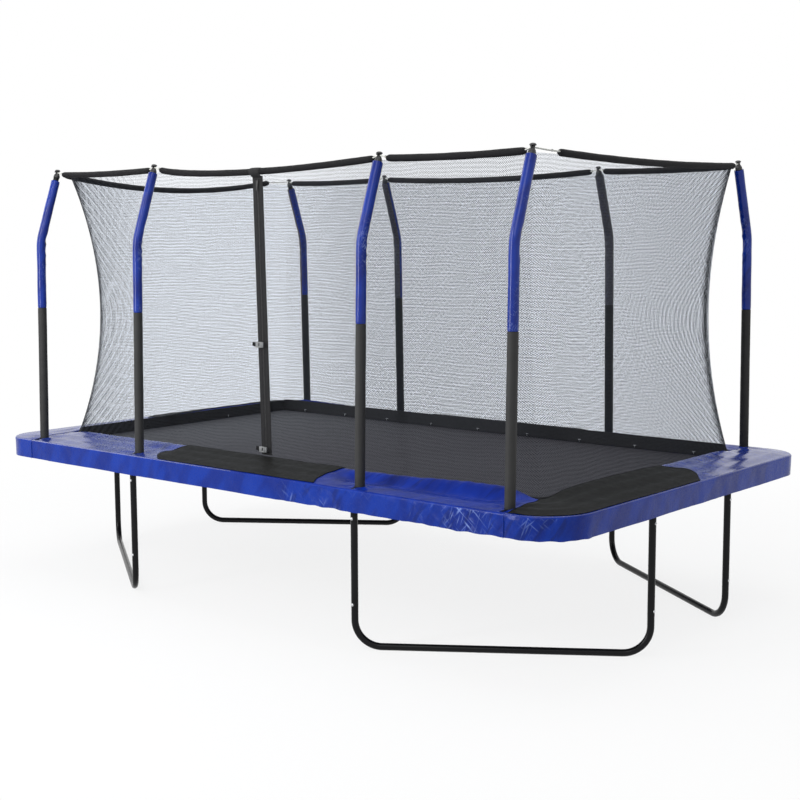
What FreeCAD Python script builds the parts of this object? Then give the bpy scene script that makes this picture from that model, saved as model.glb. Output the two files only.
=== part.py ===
"""Rectangular garden trampoline with a zipped safety net, as separate named pieces.

Millimetres, +Z up, X along the long side, the zipped door in the front wall at -Y.
The origin is on the ground, under the middle of the bed.
"""
import FreeCAD
import Part
import math
import os

V = FreeCAD.Vector
UP = V(0, 0, 1)

# Round bars and tubes are drawn with this many flats, because there are so many of them
SIDES = 12
BEND_STEP = 30.0

# Driving dimensions
FRAME_LENGTH = 4572.0
FRAME_WIDTH = 2720.0
POLE_TOP = 2668.0

# Top frame
RAIL_R = 24.0
TUBE_WALL = 2.0
RAIL_Z = 846.0
RAIL_X = FRAME_LENGTH / 2 - RAIL_R
RAIL_Y = FRAME_WIDTH / 2 - RAIL_R
CORNER_R = 250.0
TEE_R = 28.0
TEE_HALF = 70.0
TEE_STOP = 3.0
FIT_GAP = 0.4

# Legs: one U per corner, from a long rail to a short rail
LEG_X = 940.0
LEG_Y = 430.0
LEG_R = 20.0
LEG_BEND_R = 150.0
LEG_JOINT_Z = 230.0
TEE_END_Z = 757.0
SPIGOT_R = LEG_R - TUBE_WALL - FIT_GAP
SPIGOT_LENGTH = 60.0
SCREW_HEAD_R = 6.0
SCREW_HEAD_HEIGHT = 3.5
SCREW_RISE = 26.0
SCREW_DROP = 22.0

# Enclosure poles, clamped to the inner side of the rail
POLE_X = (-1940.0, -936.0, 936.0, 1940.0)
POLE_Y = 1284.0
POLE_R = 19.0
POLE_FOOT_Z = 800.0
POLE_JOINT_Z = 1500.0
POLE_BEND_Z = 2240.0
POLE_BEND_R = 260.0
POLE_LEAN = 0.02
POLE_TILT = math.radians(18.5)
SLEEVE_R = 29.0
SLEEVE_BORE_R = POLE_R + 0.5
FOAM_FOOT_Z = 878.0
COVER_START_Z = 1790.0
COVER_END_Z = 2655.0
CAP_R = 21.0
CAP_HEIGHT = 24.0
HOOK_WIDTH = 11.0
HOOK_HALF = 6.0
TIE_RISE = 12.0

# Saddles that clamp the poles to the rail
BRACKET_HALF = 30.0
BRACKET_OUTER = 24.0
BRACKET_INNER = 25.0
BRACKET_DROP = 30.0
BRACKET_RISE = 16.0
BRACKET_GAP = 0.3
BOLT_OFFSET = 24.0
BOLT_DROP = 8.0
BOLT_HEAD_R = 7.0
BOLT_HEAD_HEIGHT = 5.0

# Bed
MAT_Z = 862.5
MAT_THICKNESS = 2.0
MAT_BORDER = 60.0
MAT_EDGE = 5.0
MAT_X = 2030.0
MAT_Y = 1104.0
MAT_CORNER = 70.0
RING_LENGTH = 34.0
RING_WIDTH = 30.0
RING_BAR = 4.5
RING_THICKNESS = 3.0
SPRING_R = 11.0
SPRING_TAPER = 38.0
LONG_SPRING_PITCH = 198.0
LONG_SPRINGS_PER_HALF = 9
SHORT_SPRING_PITCH = 200.0
SHORT_SPRINGS_PER_HALF = 5

# Padding over the springs
PAD_X = RAIL_X + 38.0
PAD_Y = RAIL_Y + 38.0
PAD_WIDTH = 332.0
PAD_WIDE_CORNER_R = 290.0
PAD_TIGHT_CORNER_R = 220.0
PAD_UNDERSIDE = 876.0
PAD_CREASE_Z = 893.0
PAD_CROWN = ((10.0, 901.0), (118.0, 908.0), (218.0, 905.0), (322.0, 938.0))
PAD_CROWN_STEPS = 3
PAD_LIP_R = 10.0
SKIRT_THICKNESS = 4.0
SKIRT_END_Z = 775.5
PAD_SEAM_X = 1965.0
PAD_SEAM_GAP = 1.0
PANEL_THICKNESS = 1.6
PANEL_LIFT = 0.4
PANEL_INSET = 5.0
PANEL_SEAM_INSET = 6.0
BOWED_STEPS = 4
STRAP_WIDTH = 25.0
STRAP_THICKNESS = 1.5
LONG_STRAP_PLACES = (-1584.0, -396.0, 396.0, 1584.0)
SHORT_STRAP_PLACES = (-800.0, 0.0, 800.0)

# Safety net
NET_THICKNESS = 4.0
NET_FOOT_Z = 870.0
NET_FOOT_X = 1964.5
NET_FOOT_Y = 1036.3
NET_TOP_Z = 2650.0
NET_TOP_X = 1935.0
NET_TOP_Y = 1080.0
NET_WAIST = 127.0
NET_CORD = 36.0
LONG_NET_COLUMNS = 8
SHORT_NET_COLUMNS = 4
NET_ROWS = 5
LONG_NET_SPAN = 3512.0
SHORT_NET_SPAN = 1800.0
NET_GAP_FOOT_Z = 975.0
NET_GAP_TOP_Z = 2600.0
HEM_R = 19.5
HEM_STEPS = 4
HEM_END_Z = 2676.0
LONG_HEM_SAGS = (10.0, 38.0, 10.0)
SHORT_HEM_SAG = 42.0
LONG_HEM_SETBACK = 50.0
SHORT_HEM_NEAR = 50.0
SHORT_HEM_FAR = 225.0
HEM_Y = 1096.0
TIE_R = 2.0
TIE_LIFT = 6.0

# Door
DOOR_X = -30.0
ZIP_WIDTH = 52.0
ZIP_TEETH_WIDTH = 9.0
ZIP_THICKNESS = 2.0
ZIP_FOOT_Z = 950.0
ZIP_TOP_Z = 2612.0
SLIDER_Z = 2560.0
BUCKLE_Z = (984.0, 1618.0)
BUCKLE_WIDTH = 44.0
BUCKLE_HEIGHT = 34.0
BUCKLE_THICKNESS = 13.0
BUCKLE_LIFT = 13.2
STRAP_FOOT = 18.0
STRAP_REACH = 50.0

os.makedirs("parts", exist_ok=True)


# Shared helpers

def export(name, shape):
    """Write one node, and say how many solids it holds."""
    if not shape.isValid():
        print("invalid shape:", name)
    shape.exportStep("parts/" + name + ".step")
    print(name, len(shape.Solids), "solids", round(shape.Volume / 1000.0, 1), "cm3")


def group(shapes):
    return Part.makeCompound(list(shapes))


def fuse(shapes):
    first, rest = shapes[0], list(shapes[1:])
    if not rest:
        return first
    return first.multiFuse(rest).removeSplitter()


def cross_direction(heading):
    """The direction in which a straight bar's flats face: along X on a post, else level."""
    if abs(heading.z) > 0.9:
        return (V(1, 0, 0) - heading * heading.x).normalize()
    return UP.cross(heading).normalize()


def ring_section(centre, heading, across, radius, sides):
    """A many-sided outline round a centre line, with its flats at the bar's radius."""
    rise = across.cross(heading)
    reach = radius / math.cos(math.pi / sides)
    corners = []
    for i in range(sides + 1):
        angle = math.pi * (2 * i + 1) / sides
        corners.append(centre + across * (reach * math.cos(angle)) + rise * (reach * math.sin(angle)))
    return Part.makePolygon(corners)


def bar(start, end, radius, across=None, sides=SIDES):
    """A straight round bar, drawn with flats."""
    run = end - start
    heading = V(run).normalize()
    across = across or cross_direction(heading)
    return Part.Face(ring_section(start, heading, across, radius, sides)).extrude(run)


def flat_reach(radius, rise):
    """How far a bar's side stands from its centre line, at a height over that line."""
    steps = [math.pi * 2 * i / SIDES for i in range(SIDES // 4)]
    return min((radius - rise * math.sin(angle)) / math.cos(angle) for angle in steps)


def box(low, high):
    size = high - low
    return Part.makeBox(size.x, size.y, size.z, low)


def bent_bar(points, bend_radius, radius, across):
    """A bar whose straight runs are joined by bends that all lie in one plane."""
    first = (points[1] - points[0]).normalize()
    sections = [ring_section(points[0], first, across, radius, SIDES)]
    for before, corner, after in zip(points, points[1:], points[2:]):
        ahead = (corner - before).normalize()
        leaving = (after - corner).normalize()
        turn = ahead.getAngle(leaving)
        inward = (leaving - ahead * math.cos(turn)).normalize()
        middle = corner - ahead * (bend_radius * math.tan(turn / 2)) + inward * bend_radius
        steps = max(1, round(math.degrees(turn) / BEND_STEP))
        for i in range(steps + 1):
            angle = turn * i / steps
            heading = ahead * math.cos(angle) + inward * math.sin(angle)
            spoke = inward * math.cos(angle) - ahead * math.sin(angle)
            sections.append(ring_section(middle - spoke * bend_radius, heading, across, radius, SIDES))
    sections.append(ring_section(points[-1], leaving, across, radius, SIDES))
    return Part.makeLoft(sections, True, True)


def tube(points, bend_radius, radius, bore, across):
    """A bent tube: the outer bar less the same path at the bore's radius."""
    return bent_bar(points, bend_radius, radius, across).cut(bent_bar(points, bend_radius, bore, across))


def straight_tube(start, end, radius, bore, across=None):
    return bar(start, end, radius, across).cut(bar(start, end, bore, across))


def prism(outline, low, high):
    """A vertical prism over a plan outline given as (x, y) pairs."""
    points = [V(x, y, low) for x, y in outline]
    face = Part.Face(Part.makePolygon(points + points[:1]))
    return face.extrude(V(0, 0, high - low))


def pad_plan_prism(inset, low, high):
    """The pads' plan, drawn in by an inset, standing from one height to another.

    The door's right corner and the one across from it are rounder than the other two.
    """
    block = box(V(-PAD_X + inset, -PAD_Y + inset, low), V(PAD_X - inset, PAD_Y - inset, high))
    for radius, same_side in ((PAD_WIDE_CORNER_R, -1), (PAD_TIGHT_CORNER_R, 1)):
        uprights = []
        for edge in block.Edges:
            middle = edge.CenterOfMass
            at_corner = abs(middle.x) > PAD_X - inset - 1 and abs(middle.y) > PAD_Y - inset - 1
            if at_corner and middle.x * middle.y * same_side > 0:
                uprights.append(edge)
        block = block.makeFillet(radius - inset, uprights)
    return block


def half_turn(shape):
    turned = shape.copy()
    turned.rotate(V(0, 0, 0), UP, 180)
    return turned


def mirror_x(shape):
    return shape.mirror(V(0, 0, 0), V(1, 0, 0))


def mirror_y(shape):
    return shape.mirror(V(0, 0, 0), V(0, 1, 0))


CORNERS = {"front_left": (-1, -1), "front_right": (1, -1), "back_left": (-1, 1), "back_right": (1, 1)}


# Top frame

def corner_rail(side_x, side_y):
    """One bent rail, from the socket on the long side to the socket on the short side."""
    points = [V(side_x * (LEG_X + TEE_STOP), side_y * RAIL_Y, RAIL_Z),
              V(side_x * RAIL_X, side_y * RAIL_Y, RAIL_Z),
              V(side_x * RAIL_X, side_y * (LEG_Y + TEE_STOP), RAIL_Z)]
    return tube(points, CORNER_R, RAIL_R, RAIL_R - TUBE_WALL, UP)


def long_rail(side_y):
    reach = LEG_X - TEE_STOP
    return straight_tube(V(-reach, side_y * RAIL_Y, RAIL_Z), V(reach, side_y * RAIL_Y, RAIL_Z),
                         RAIL_R, RAIL_R - TUBE_WALL)


def short_rail(side_x):
    reach = LEG_Y - TEE_STOP
    return straight_tube(V(side_x * RAIL_X, -reach, RAIL_Z), V(side_x * RAIL_X, reach, RAIL_Z),
                         RAIL_R, RAIL_R - TUBE_WALL)


def leg_flats(side_x, side_y):
    """The level direction square to a leg's U, which its tubes' flats face."""
    run = V(side_x * (RAIL_X - LEG_X), side_y * (LEG_Y - RAIL_Y), 0)
    return UP.cross(run).normalize()


def tee_socket(centre, along):
    """A sleeve over two rail ends, with a welded stub whose necked end enters the leg."""
    across = leg_flats(math.copysign(1, centre.x), math.copysign(1, centre.y))
    sleeve = bar(centre - along * TEE_HALF, centre + along * TEE_HALF, TEE_R)
    bore = bar(centre - along * TEE_HALF, centre + along * TEE_HALF, RAIL_R + FIT_GAP)
    shoulder = V(centre.x, centre.y, TEE_END_Z)
    stub = bar(centre, shoulder, LEG_R, across)
    spigot = bar(shoulder, shoulder - UP * SPIGOT_LENGTH, SPIGOT_R, across)
    return fuse([sleeve, stub, spigot]).cut(bore)


def leg_places():
    """The eight leg tops, each with the direction of the rail over it."""
    places = []
    for side_x, side_y in CORNERS.values():
        places.append((V(side_x * LEG_X, side_y * RAIL_Y, RAIL_Z), V(1, 0, 0)))
        places.append((V(side_x * RAIL_X, side_y * LEG_Y, RAIL_Z), V(0, 1, 0)))
    return places


# Legs

def upper_legs(side_x, side_y):
    legs = []
    for x, y in ((LEG_X, RAIL_Y), (RAIL_X, LEG_Y)):
        foot = V(side_x * x, side_y * y, LEG_JOINT_Z)
        head = V(side_x * x, side_y * y, TEE_END_Z)
        legs.append(straight_tube(foot, head, LEG_R, LEG_R - TUBE_WALL, leg_flats(side_x, side_y)))
    return group(legs)


def lower_leg(side_x, side_y):
    """The U that stands on the ground, with necked ends that enter the upper legs."""
    long_foot = V(side_x * LEG_X, side_y * RAIL_Y, LEG_R)
    short_foot = V(side_x * RAIL_X, side_y * LEG_Y, LEG_R)
    joint = UP * (LEG_JOINT_Z - LEG_R)
    points = [long_foot + joint, long_foot, short_foot, short_foot + joint]
    across = leg_flats(side_x, side_y)
    base = bent_bar(points, LEG_BEND_R, LEG_R, across)
    necks = [bar(point, point + UP * SPIGOT_LENGTH, SPIGOT_R, across) for point in (points[0], points[3])]
    return fuse([base] + necks)


def hex_head(seat, outward, radius, height):
    """A hexagonal bolt head standing on a seat."""
    return bar(seat, seat + outward * height, radius, UP, 6)


def leg_screws():
    screws = []
    for top, along in leg_places():
        outward = V(0, math.copysign(1, top.y), 0) if along.x else V(math.copysign(1, top.x), 0, 0)
        for height in (LEG_JOINT_Z + SCREW_RISE, TEE_END_Z - SCREW_DROP):
            seat = V(top.x, top.y, height) + outward * (LEG_R / math.cos(math.pi / SIDES) + 0.1)
            screws.append(hex_head(seat, outward, SCREW_HEAD_R, SCREW_HEAD_HEIGHT))
    return group(screws)


# Enclosure poles

def pole_point(x, side_y, height):
    """The pole's centre line at a height below its bend."""
    inward = POLE_LEAN * (height - RAIL_Z)
    return V(x, side_y * (POLE_Y - inward), height)


def pole_upper_point(x, side_y, height):
    """The pole's centre line at a height above its bend."""
    bend = pole_point(x, side_y, POLE_BEND_Z)
    inward = math.tan(POLE_TILT) * (height - POLE_BEND_Z)
    return bend - V(0, side_y * inward, 0) + UP * (height - POLE_BEND_Z)


def pole_lower(x, side_y):
    return straight_tube(pole_point(x, side_y, POLE_FOOT_Z), pole_point(x, side_y, POLE_JOINT_Z),
                         POLE_R, POLE_R - TUBE_WALL)


def bent_pole_points(x, side_y, foot_z, top_z):
    return [pole_point(x, side_y, foot_z), pole_point(x, side_y, POLE_BEND_Z),
            pole_upper_point(x, side_y, top_z)]


def pole_upper(x, side_y):
    """The bent half, whose necked foot enters the lower half."""
    points = bent_pole_points(x, side_y, POLE_JOINT_Z, POLE_TOP)
    neck = bar(pole_point(x, side_y, POLE_JOINT_Z - SPIGOT_LENGTH), points[0],
               POLE_R - TUBE_WALL - FIT_GAP)
    return fuse([bent_bar(points, POLE_BEND_R, POLE_R, V(1, 0, 0)), neck])


def foam_sleeve(x, side_y):
    return straight_tube(pole_point(x, side_y, FOAM_FOOT_Z), pole_point(x, side_y, COVER_START_Z - 1.0),
                         SLEEVE_R, SLEEVE_BORE_R)


def cover_sleeve(x, side_y):
    points = bent_pole_points(x, side_y, COVER_START_Z, COVER_END_Z)
    return tube(points, POLE_BEND_R, SLEEVE_R, SLEEVE_BORE_R, V(1, 0, 0))


def hook_root(x, side_y):
    """Where the cap's hook grows out of its top."""
    top = pole_upper_point(x, side_y, POLE_TOP)
    axis = (top - pole_upper_point(x, side_y, POLE_BEND_Z)).normalize()
    return top, axis, top + axis * (CAP_HEIGHT - 4.0)


def pole_cap(x, side_y):
    """A cap with a moulded hook that curls outward, for the net's loops."""
    top, axis, root = hook_root(x, side_y)
    shell = bar(top + axis * 0.3, top + axis * CAP_HEIGHT, CAP_R)
    profile = [(-HOOK_HALF, 0), (HOOK_HALF, 0), (HOOK_HALF, 16), (1, 28), (-10, 33), (-22, 29),
               (-27, 18), (-21, 17), (-16, 23), (-9, 24), (-5, 18)]
    corners = [root + V(-HOOK_WIDTH / 2, -side_y * inward, height) for inward, height in profile]
    hook = Part.Face(Part.makePolygon(corners + corners[:1])).extrude(V(HOOK_WIDTH, 0, 0))
    return fuse([shell, hook])


def pole_bracket(x, side_y, rail_radius):
    """A pressed saddle that wraps the rail from below and grips the pole's foot."""
    past = 2 * BRACKET_HALF
    block = box(V(x - BRACKET_HALF, -RAIL_Y - BRACKET_OUTER, RAIL_Z - BRACKET_DROP),
                V(x + BRACKET_HALF, -POLE_Y + BRACKET_INNER, RAIL_Z + BRACKET_RISE))
    rail = bar(V(x - past, -RAIL_Y, RAIL_Z), V(x + past, -RAIL_Y, RAIL_Z), rail_radius + BRACKET_GAP)
    pole = bar(pole_point(x, -1, POLE_FOOT_Z - past), pole_point(x, -1, RAIL_Z + past), POLE_R + 0.2)
    open_top = box(V(x - past, -RAIL_Y - past, RAIL_Z), V(x + past, -RAIL_Y, RAIL_Z + past))
    leg_top = V(math.copysign(LEG_X, x), -RAIL_Y, RAIL_Z)
    stub = bar(leg_top, leg_top - UP * past, LEG_R + BRACKET_GAP, leg_flats(math.copysign(1, x), -1))
    bracket = block.cut(group([rail, pole, open_top, stub]))
    bracket = max(bracket.Solids, key=lambda solid: solid.Volume)
    return mirror_y(bracket) if side_y > 0 else bracket


def bracket_bolt(x, side_y):
    """A hex bolt through the saddle's free edge, under the pole."""
    seat = V(x + BOLT_OFFSET, side_y * (POLE_Y - BRACKET_INNER - 0.2), RAIL_Z - BOLT_DROP)
    return hex_head(seat, V(0, -side_y, 0), BOLT_HEAD_R, BOLT_HEAD_HEIGHT)


# Bed

def mat():
    """One cloth, doubled along its edge where the rings are sewn in."""
    cut_x, cut_y = MAT_X - MAT_CORNER, MAT_Y - MAT_CORNER
    outline = [(-cut_x, -MAT_Y), (cut_x, -MAT_Y), (MAT_X, -cut_y), (MAT_X, cut_y),
               (cut_x, MAT_Y), (-cut_x, MAT_Y), (-MAT_X, cut_y), (-MAT_X, -cut_y)]
    cloth = prism(outline, MAT_Z - MAT_EDGE / 2, MAT_Z + MAT_EDGE / 2)
    middle = V(MAT_X - MAT_BORDER, MAT_Y - MAT_BORDER, 0)
    for low in (MAT_THICKNESS / 2, -MAT_EDGE):
        recess = box(V(-middle.x, -middle.y, MAT_Z + low),
                     V(middle.x, middle.y, MAT_Z + low + MAT_EDGE - MAT_THICKNESS / 2))
        cloth = cloth.cut(recess)
    return cloth


def spring_places(pitch, per_half):
    """Evenly pitched places, none on the centre line."""
    return [side * pitch * (i + 0.5) for i in range(per_half) for side in (-1, 1)]


LONG_SPRING_PLACES = spring_places(LONG_SPRING_PITCH, LONG_SPRINGS_PER_HALF)
SHORT_SPRING_PLACES = spring_places(SHORT_SPRING_PITCH, SHORT_SPRINGS_PER_HALF)


def side_frame(side, place):
    """Origin on the mat's edge and unit vector outward, for a place along a named side."""
    if side in ("front", "back"):
        sign = -1 if side == "front" else 1
        return V(place, sign * MAT_Y, MAT_Z), V(0, sign, 0)
    sign = -1 if side == "left" else 1
    return V(sign * MAT_X, place, MAT_Z), V(sign, 0, 0)


def mat_ring(side, place):
    """A triangular wire ring whose base is sewn into the mat's edge."""
    edge, outward = side_frame(side, place)
    along = UP.cross(outward)
    base = edge + outward * 0.3 - UP * (RING_THICKNESS / 2)

    def triangle(length, width, start):
        foot = base + outward * start
        corners = [foot - along * width / 2, foot + along * width / 2, foot + outward * length]
        return Part.Face(Part.makePolygon(corners + corners[:1])).extrude(UP * RING_THICKNESS)

    inner_width = RING_WIDTH - 3.4 * RING_BAR
    inner_length = RING_LENGTH - 3.0 * RING_BAR
    return triangle(RING_LENGTH, RING_WIDTH, 0.0).cut(triangle(inner_length, inner_width, RING_BAR))


def rail_grip(side, place):
    """How far the rail's or the socket's face stands inside the rail's centre line."""
    leg = LEG_X if side in ("front", "back") else LEG_Y
    radius = TEE_R if abs(abs(place) - leg) < TEE_HALF + SPRING_R else RAIL_R
    return flat_reach(radius, MAT_Z - RAIL_Z) + 0.2


def spring(side, place):
    """A close-wound spring from a mat ring to the rail, drawn as its outer barrel and hooked ends."""
    edge, outward = side_frame(side, place)
    along = UP.cross(outward)
    rail_reach = (RAIL_Y - MAT_Y) if side in ("front", "back") else (RAIL_X - MAT_X)
    tips = (edge + outward * (RING_LENGTH + 0.6), edge + outward * (rail_reach - rail_grip(side, place)))
    shoulders = (tips[0] + outward * SPRING_TAPER, tips[1] - outward * SPRING_TAPER)
    rings = [ring_section(shoulder, outward, along, SPRING_R, 6) for shoulder in shoulders]
    barrel = Part.makeLoft(rings, True, True)
    ends = [Part.makeLoft([Part.Vertex(tip), ring], True, True) for tip, ring in zip(tips, rings)]
    return fuse([barrel] + ends)


# Padding

def pad_profile():
    """The cushion's section, as inward distances from the outer face and heights.

    It is crowned over the springs, dips to a valley and rises to a lip round the bed.
    """
    outline = [PAD_CROWN[0]]
    for (start, low), (end, high) in zip(PAD_CROWN, PAD_CROWN[1:]):
        for step in range(1, PAD_CROWN_STEPS + 1):
            share = step / PAD_CROWN_STEPS
            eased = share * share * (3 - 2 * share)
            outline.append((start + (end - start) * share, low + (high - low) * eased))
    valley, lip = PAD_CROWN[2], PAD_CROWN[3]
    outline += [(PAD_WIDTH, lip[1] - 2), (PAD_WIDTH, lip[1] - 2 * PAD_LIP_R + 2), (290, valley[1] - 12),
                (262, PAD_UNDERSIDE), (0, PAD_UNDERSIDE), (0, PAD_CREASE_Z)]
    points = [V(0, inward, height) for inward, height in outline]
    return Part.Face(Part.makePolygon(points + points[:1]))


def cushion_side(half_length, outer_face):
    """One mitred run of the cushion, along X, with its outer face at -Y."""
    profile = pad_profile()
    profile.translate(V(-half_length, -outer_face, 0))
    run = profile.extrude(V(2 * half_length, 0, 0))
    mitre = prism([(-half_length, -outer_face), (half_length, -outer_face),
                   (half_length - PAD_WIDTH, -outer_face + PAD_WIDTH),
                   (-half_length + PAD_WIDTH, -outer_face + PAD_WIDTH)], 800.0, 1000.0)
    return run.common(mitre)


def cushion_ring():
    front = cushion_side(PAD_X, PAD_Y)
    left = cushion_side(PAD_Y, PAD_X)
    left.rotate(V(0, 0, 0), UP, -90)
    ring = fuse([front, left, mirror_y(front), mirror_x(left)])
    return ring.common(pad_plan_prism(0.0, 800.0, 1000.0))


def skirt_ring():
    top = PAD_CREASE_Z - 5
    return pad_plan_prism(0.0, SKIRT_END_Z, top).cut(pad_plan_prism(SKIRT_THICKNESS, SKIRT_END_Z, top))


def pole_openings():
    """Round holes for the poles, each with a slit out to the pad's edge."""
    openings = []
    for x in POLE_X:
        for side_y in (-1, 1):
            foot = pole_point(x, side_y, 840.0)
            openings.append(bar(foot, pole_point(x, side_y, 960.0), SLEEVE_R + 1.5))
            far = PAD_Y - SKIRT_THICKNESS - 2.0
            low_y, high_y = sorted((side_y * POLE_Y, side_y * far))
            openings.append(box(V(x - 1.5, low_y, 840.0), V(x + 1.5, high_y, 960.0)))
    return openings


def pad_pieces():
    ring = fuse([cushion_ring(), skirt_ring()]).cut(fuse(pole_openings()))
    seam = PAD_SEAM_X
    gap = PAD_SEAM_GAP / 2
    far = PAD_X + 50.0
    wide = PAD_Y + 50.0
    zones = {"pad_front": box(V(-seam + gap, -wide, 700), V(seam - gap, 0, 1000)),
             "pad_back": box(V(-seam + gap, 0, 700), V(seam - gap, wide, 1000)),
             "pad_left": box(V(-far, -wide, 700), V(-seam - gap, wide, 1000)),
             "pad_right": box(V(seam + gap, -wide, 700), V(far, wide, 1000))}
    return {name: ring.common(zone) for name, zone in zones.items()}


def bowed_edge(start, middle, end):
    """Plan points from start to end along a curve through the middle point."""
    points = []
    for step in range(BOWED_STEPS + 1):
        share = step / BOWED_STEPS
        bulge = 4 * share * (1 - share)
        points.append(tuple(a + (c - a) * share + (b - (a + c) / 2) * bulge
                            for a, b, c in zip(start, middle, end)))
    return points


def pad_panels():
    """Dark cloth panels sewn over the pads, alike under a half turn of the whole bed."""
    outer = PAD_Y - PANEL_INSET
    inner = PAD_Y - PAD_WIDTH + PANEL_INSET
    front_outline = bowed_edge((660, -outer), (592, -1200), (612, -inner))
    front_outline += bowed_edge((-712, -inner), (-790, -1200), (-660, -outer))
    near = PAD_SEAM_X + PANEL_SEAM_INSET
    inner_x = PAD_X - PAD_WIDTH + PANEL_INSET
    outer_x = PAD_X - PANEL_INSET
    right_outline = [(near, -outer), (outer_x, -outer)]
    right_outline += bowed_edge((outer_x, 30), (2130, 190), (inner_x + 4, 110)) + [(near, 40)]
    ring = cushion_ring()
    above = ring.copy()
    above.translate(UP * (PANEL_LIFT + PANEL_THICKNESS))
    below = ring.copy()
    below.translate(UP * PANEL_LIFT)
    layer = above.cut(below).common(pad_plan_prism(PANEL_INSET, 870.0, 1000.0))
    panels = []
    for outline in (front_outline, right_outline):
        cloth = max(layer.common(prism(outline, 870.0, 1000.0)).Solids, key=lambda solid: solid.Volume)
        panels += [cloth, half_turn(cloth)]
    return group(panels)


def pad_strap(side, place):
    """An elastic loop sewn to the pad's underside and pulled round the rail."""
    centre_y = RAIL_Y if side in ("front", "back") else RAIL_X
    inner = RAIL_R + 0.5
    outer = inner + STRAP_THICKNESS
    low = V(place - STRAP_WIDTH / 2, -centre_y - outer, RAIL_Z - outer)
    high = V(place + STRAP_WIDTH / 2, -centre_y + outer, PAD_UNDERSIDE - 0.3)
    hole_low = V(low.x - 1, -centre_y - inner, RAIL_Z - inner)
    hole_high = V(high.x + 1, -centre_y + inner, RAIL_Z + inner)
    strap = box(low, high).cut(box(hole_low, hole_high))
    turn = {"front": 0, "right": 90, "back": 180, "left": 270}[side]
    strap.rotate(V(0, 0, 0), UP, turn)
    return strap


# Safety net

def net_seam(height):
    """The corner seam's X and Y at a height, drawn in at the waist by the stretched cloth."""
    share = (height - NET_FOOT_Z) / (NET_TOP_Z - NET_FOOT_Z)
    waist = NET_WAIST * 4 * share * (1 - share)
    return (NET_FOOT_X + (NET_TOP_X - NET_FOOT_X) * share - waist,
            NET_FOOT_Y + (NET_TOP_Y - NET_FOOT_Y) * share - waist)


def net_depth(foot, top, height):
    """The flat middle's distance from the centre at a height."""
    return foot + (top - foot) * (height - NET_FOOT_Z) / (NET_TOP_Z - NET_FOOT_Z)


def net_heights():
    """The wall's levels: its foot, the borders between rows of gaps, and its top."""
    pitch = (NET_GAP_TOP_Z - NET_GAP_FOOT_Z) / NET_ROWS
    return [NET_FOOT_Z] + [NET_GAP_FOOT_Z + row * pitch for row in range(NET_ROWS + 1)] + [NET_TOP_Z]


def net_wall(depth_ends, seam_index, columns, span):
    """A net wall at -Y: a flat middle between two strips that run out to the corner seams."""
    pitch = span / columns
    flat_half = span / 2 - pitch
    rows = []
    for height in net_heights():
        seam = net_seam(height)
        edge, edge_depth = seam[seam_index], seam[1 - seam_index]
        depth = net_depth(depth_ends[0], depth_ends[1], height)
        rows.append([V(-edge, -edge_depth, height), V(-flat_half, -depth, height),
                     V(flat_half, -depth, height), V(edge, -edge_depth, height)])
    patches = [[rows[0][1], rows[0][2], rows[-1][2], rows[-1][1]]]
    for low, high in zip(rows, rows[1:]):
        for seam_end, flat_end in ((0, 1), (3, 2)):
            patches.append([low[flat_end], low[seam_end], high[seam_end]])
            patches.append([low[flat_end], high[seam_end], high[flat_end]])
    sheets = [Part.Face(Part.makePolygon(patch + patch[:1])) for patch in patches]
    wall = fuse([sheet.extrude(V(0, -NET_THICKNESS, 0)) for sheet in sheets])
    levels = net_heights()[1:-1]
    gaps = []
    for low_z, high_z in zip(levels, levels[1:]):
        for column in range(columns):
            start = column * pitch - span / 2
            gaps.append(box(V(start + NET_CORD / 2, -2200, low_z + NET_CORD / 2),
                            V(start + pitch - NET_CORD / 2, -800, high_z - NET_CORD / 2)))
    return wall.cut(group(gaps))


def long_net():
    return net_wall((NET_FOOT_Y, NET_TOP_Y), 0, LONG_NET_COLUMNS, LONG_NET_SPAN)


def short_net():
    wall = net_wall((NET_FOOT_X, NET_TOP_X), 1, SHORT_NET_COLUMNS, SHORT_NET_SPAN)
    wall.rotate(V(0, 0, 0), UP, 90)
    return wall


def hem_run(start, end, sag, radius):
    """One padded band between two poles, sagging a little."""
    heading = (end - start).normalize()
    across = UP.cross(heading)
    sections = []
    for i in range(HEM_STEPS + 1):
        share = i / HEM_STEPS
        centre = start + (end - start) * share - UP * (4 * sag * share * (1 - share))
        sections.append(ring_section(centre, heading, across, radius, 8))
    return Part.makeLoft(sections, True, True)


def hem_runs(radius):
    runs = []
    for side_y in (-1, 1):
        for left, right, sag in zip(POLE_X, POLE_X[1:], LONG_HEM_SAGS):
            start = V(left + LONG_HEM_SETBACK, side_y * HEM_Y, HEM_END_Z)
            end = V(right - LONG_HEM_SETBACK, side_y * HEM_Y, HEM_END_Z)
            runs.append(hem_run(start, end, sag, radius))
    right = hem_run(V(POLE_X[3], SHORT_HEM_FAR - HEM_Y, HEM_END_Z),
                    V(POLE_X[3], HEM_Y - SHORT_HEM_NEAR, HEM_END_Z), SHORT_HEM_SAG, radius)
    return runs + [right, half_turn(right)]


def square_cord(start, end):
    """A short taut cord."""
    heading = (end - start).normalize()
    across = heading.cross(UP).normalize() * TIE_R
    rise = across.cross(heading).normalize() * TIE_R
    corners = [start + across, start + rise, start - across, start - rise]
    return Part.Face(Part.makePolygon(corners + corners[:1])).extrude(end - start)


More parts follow.
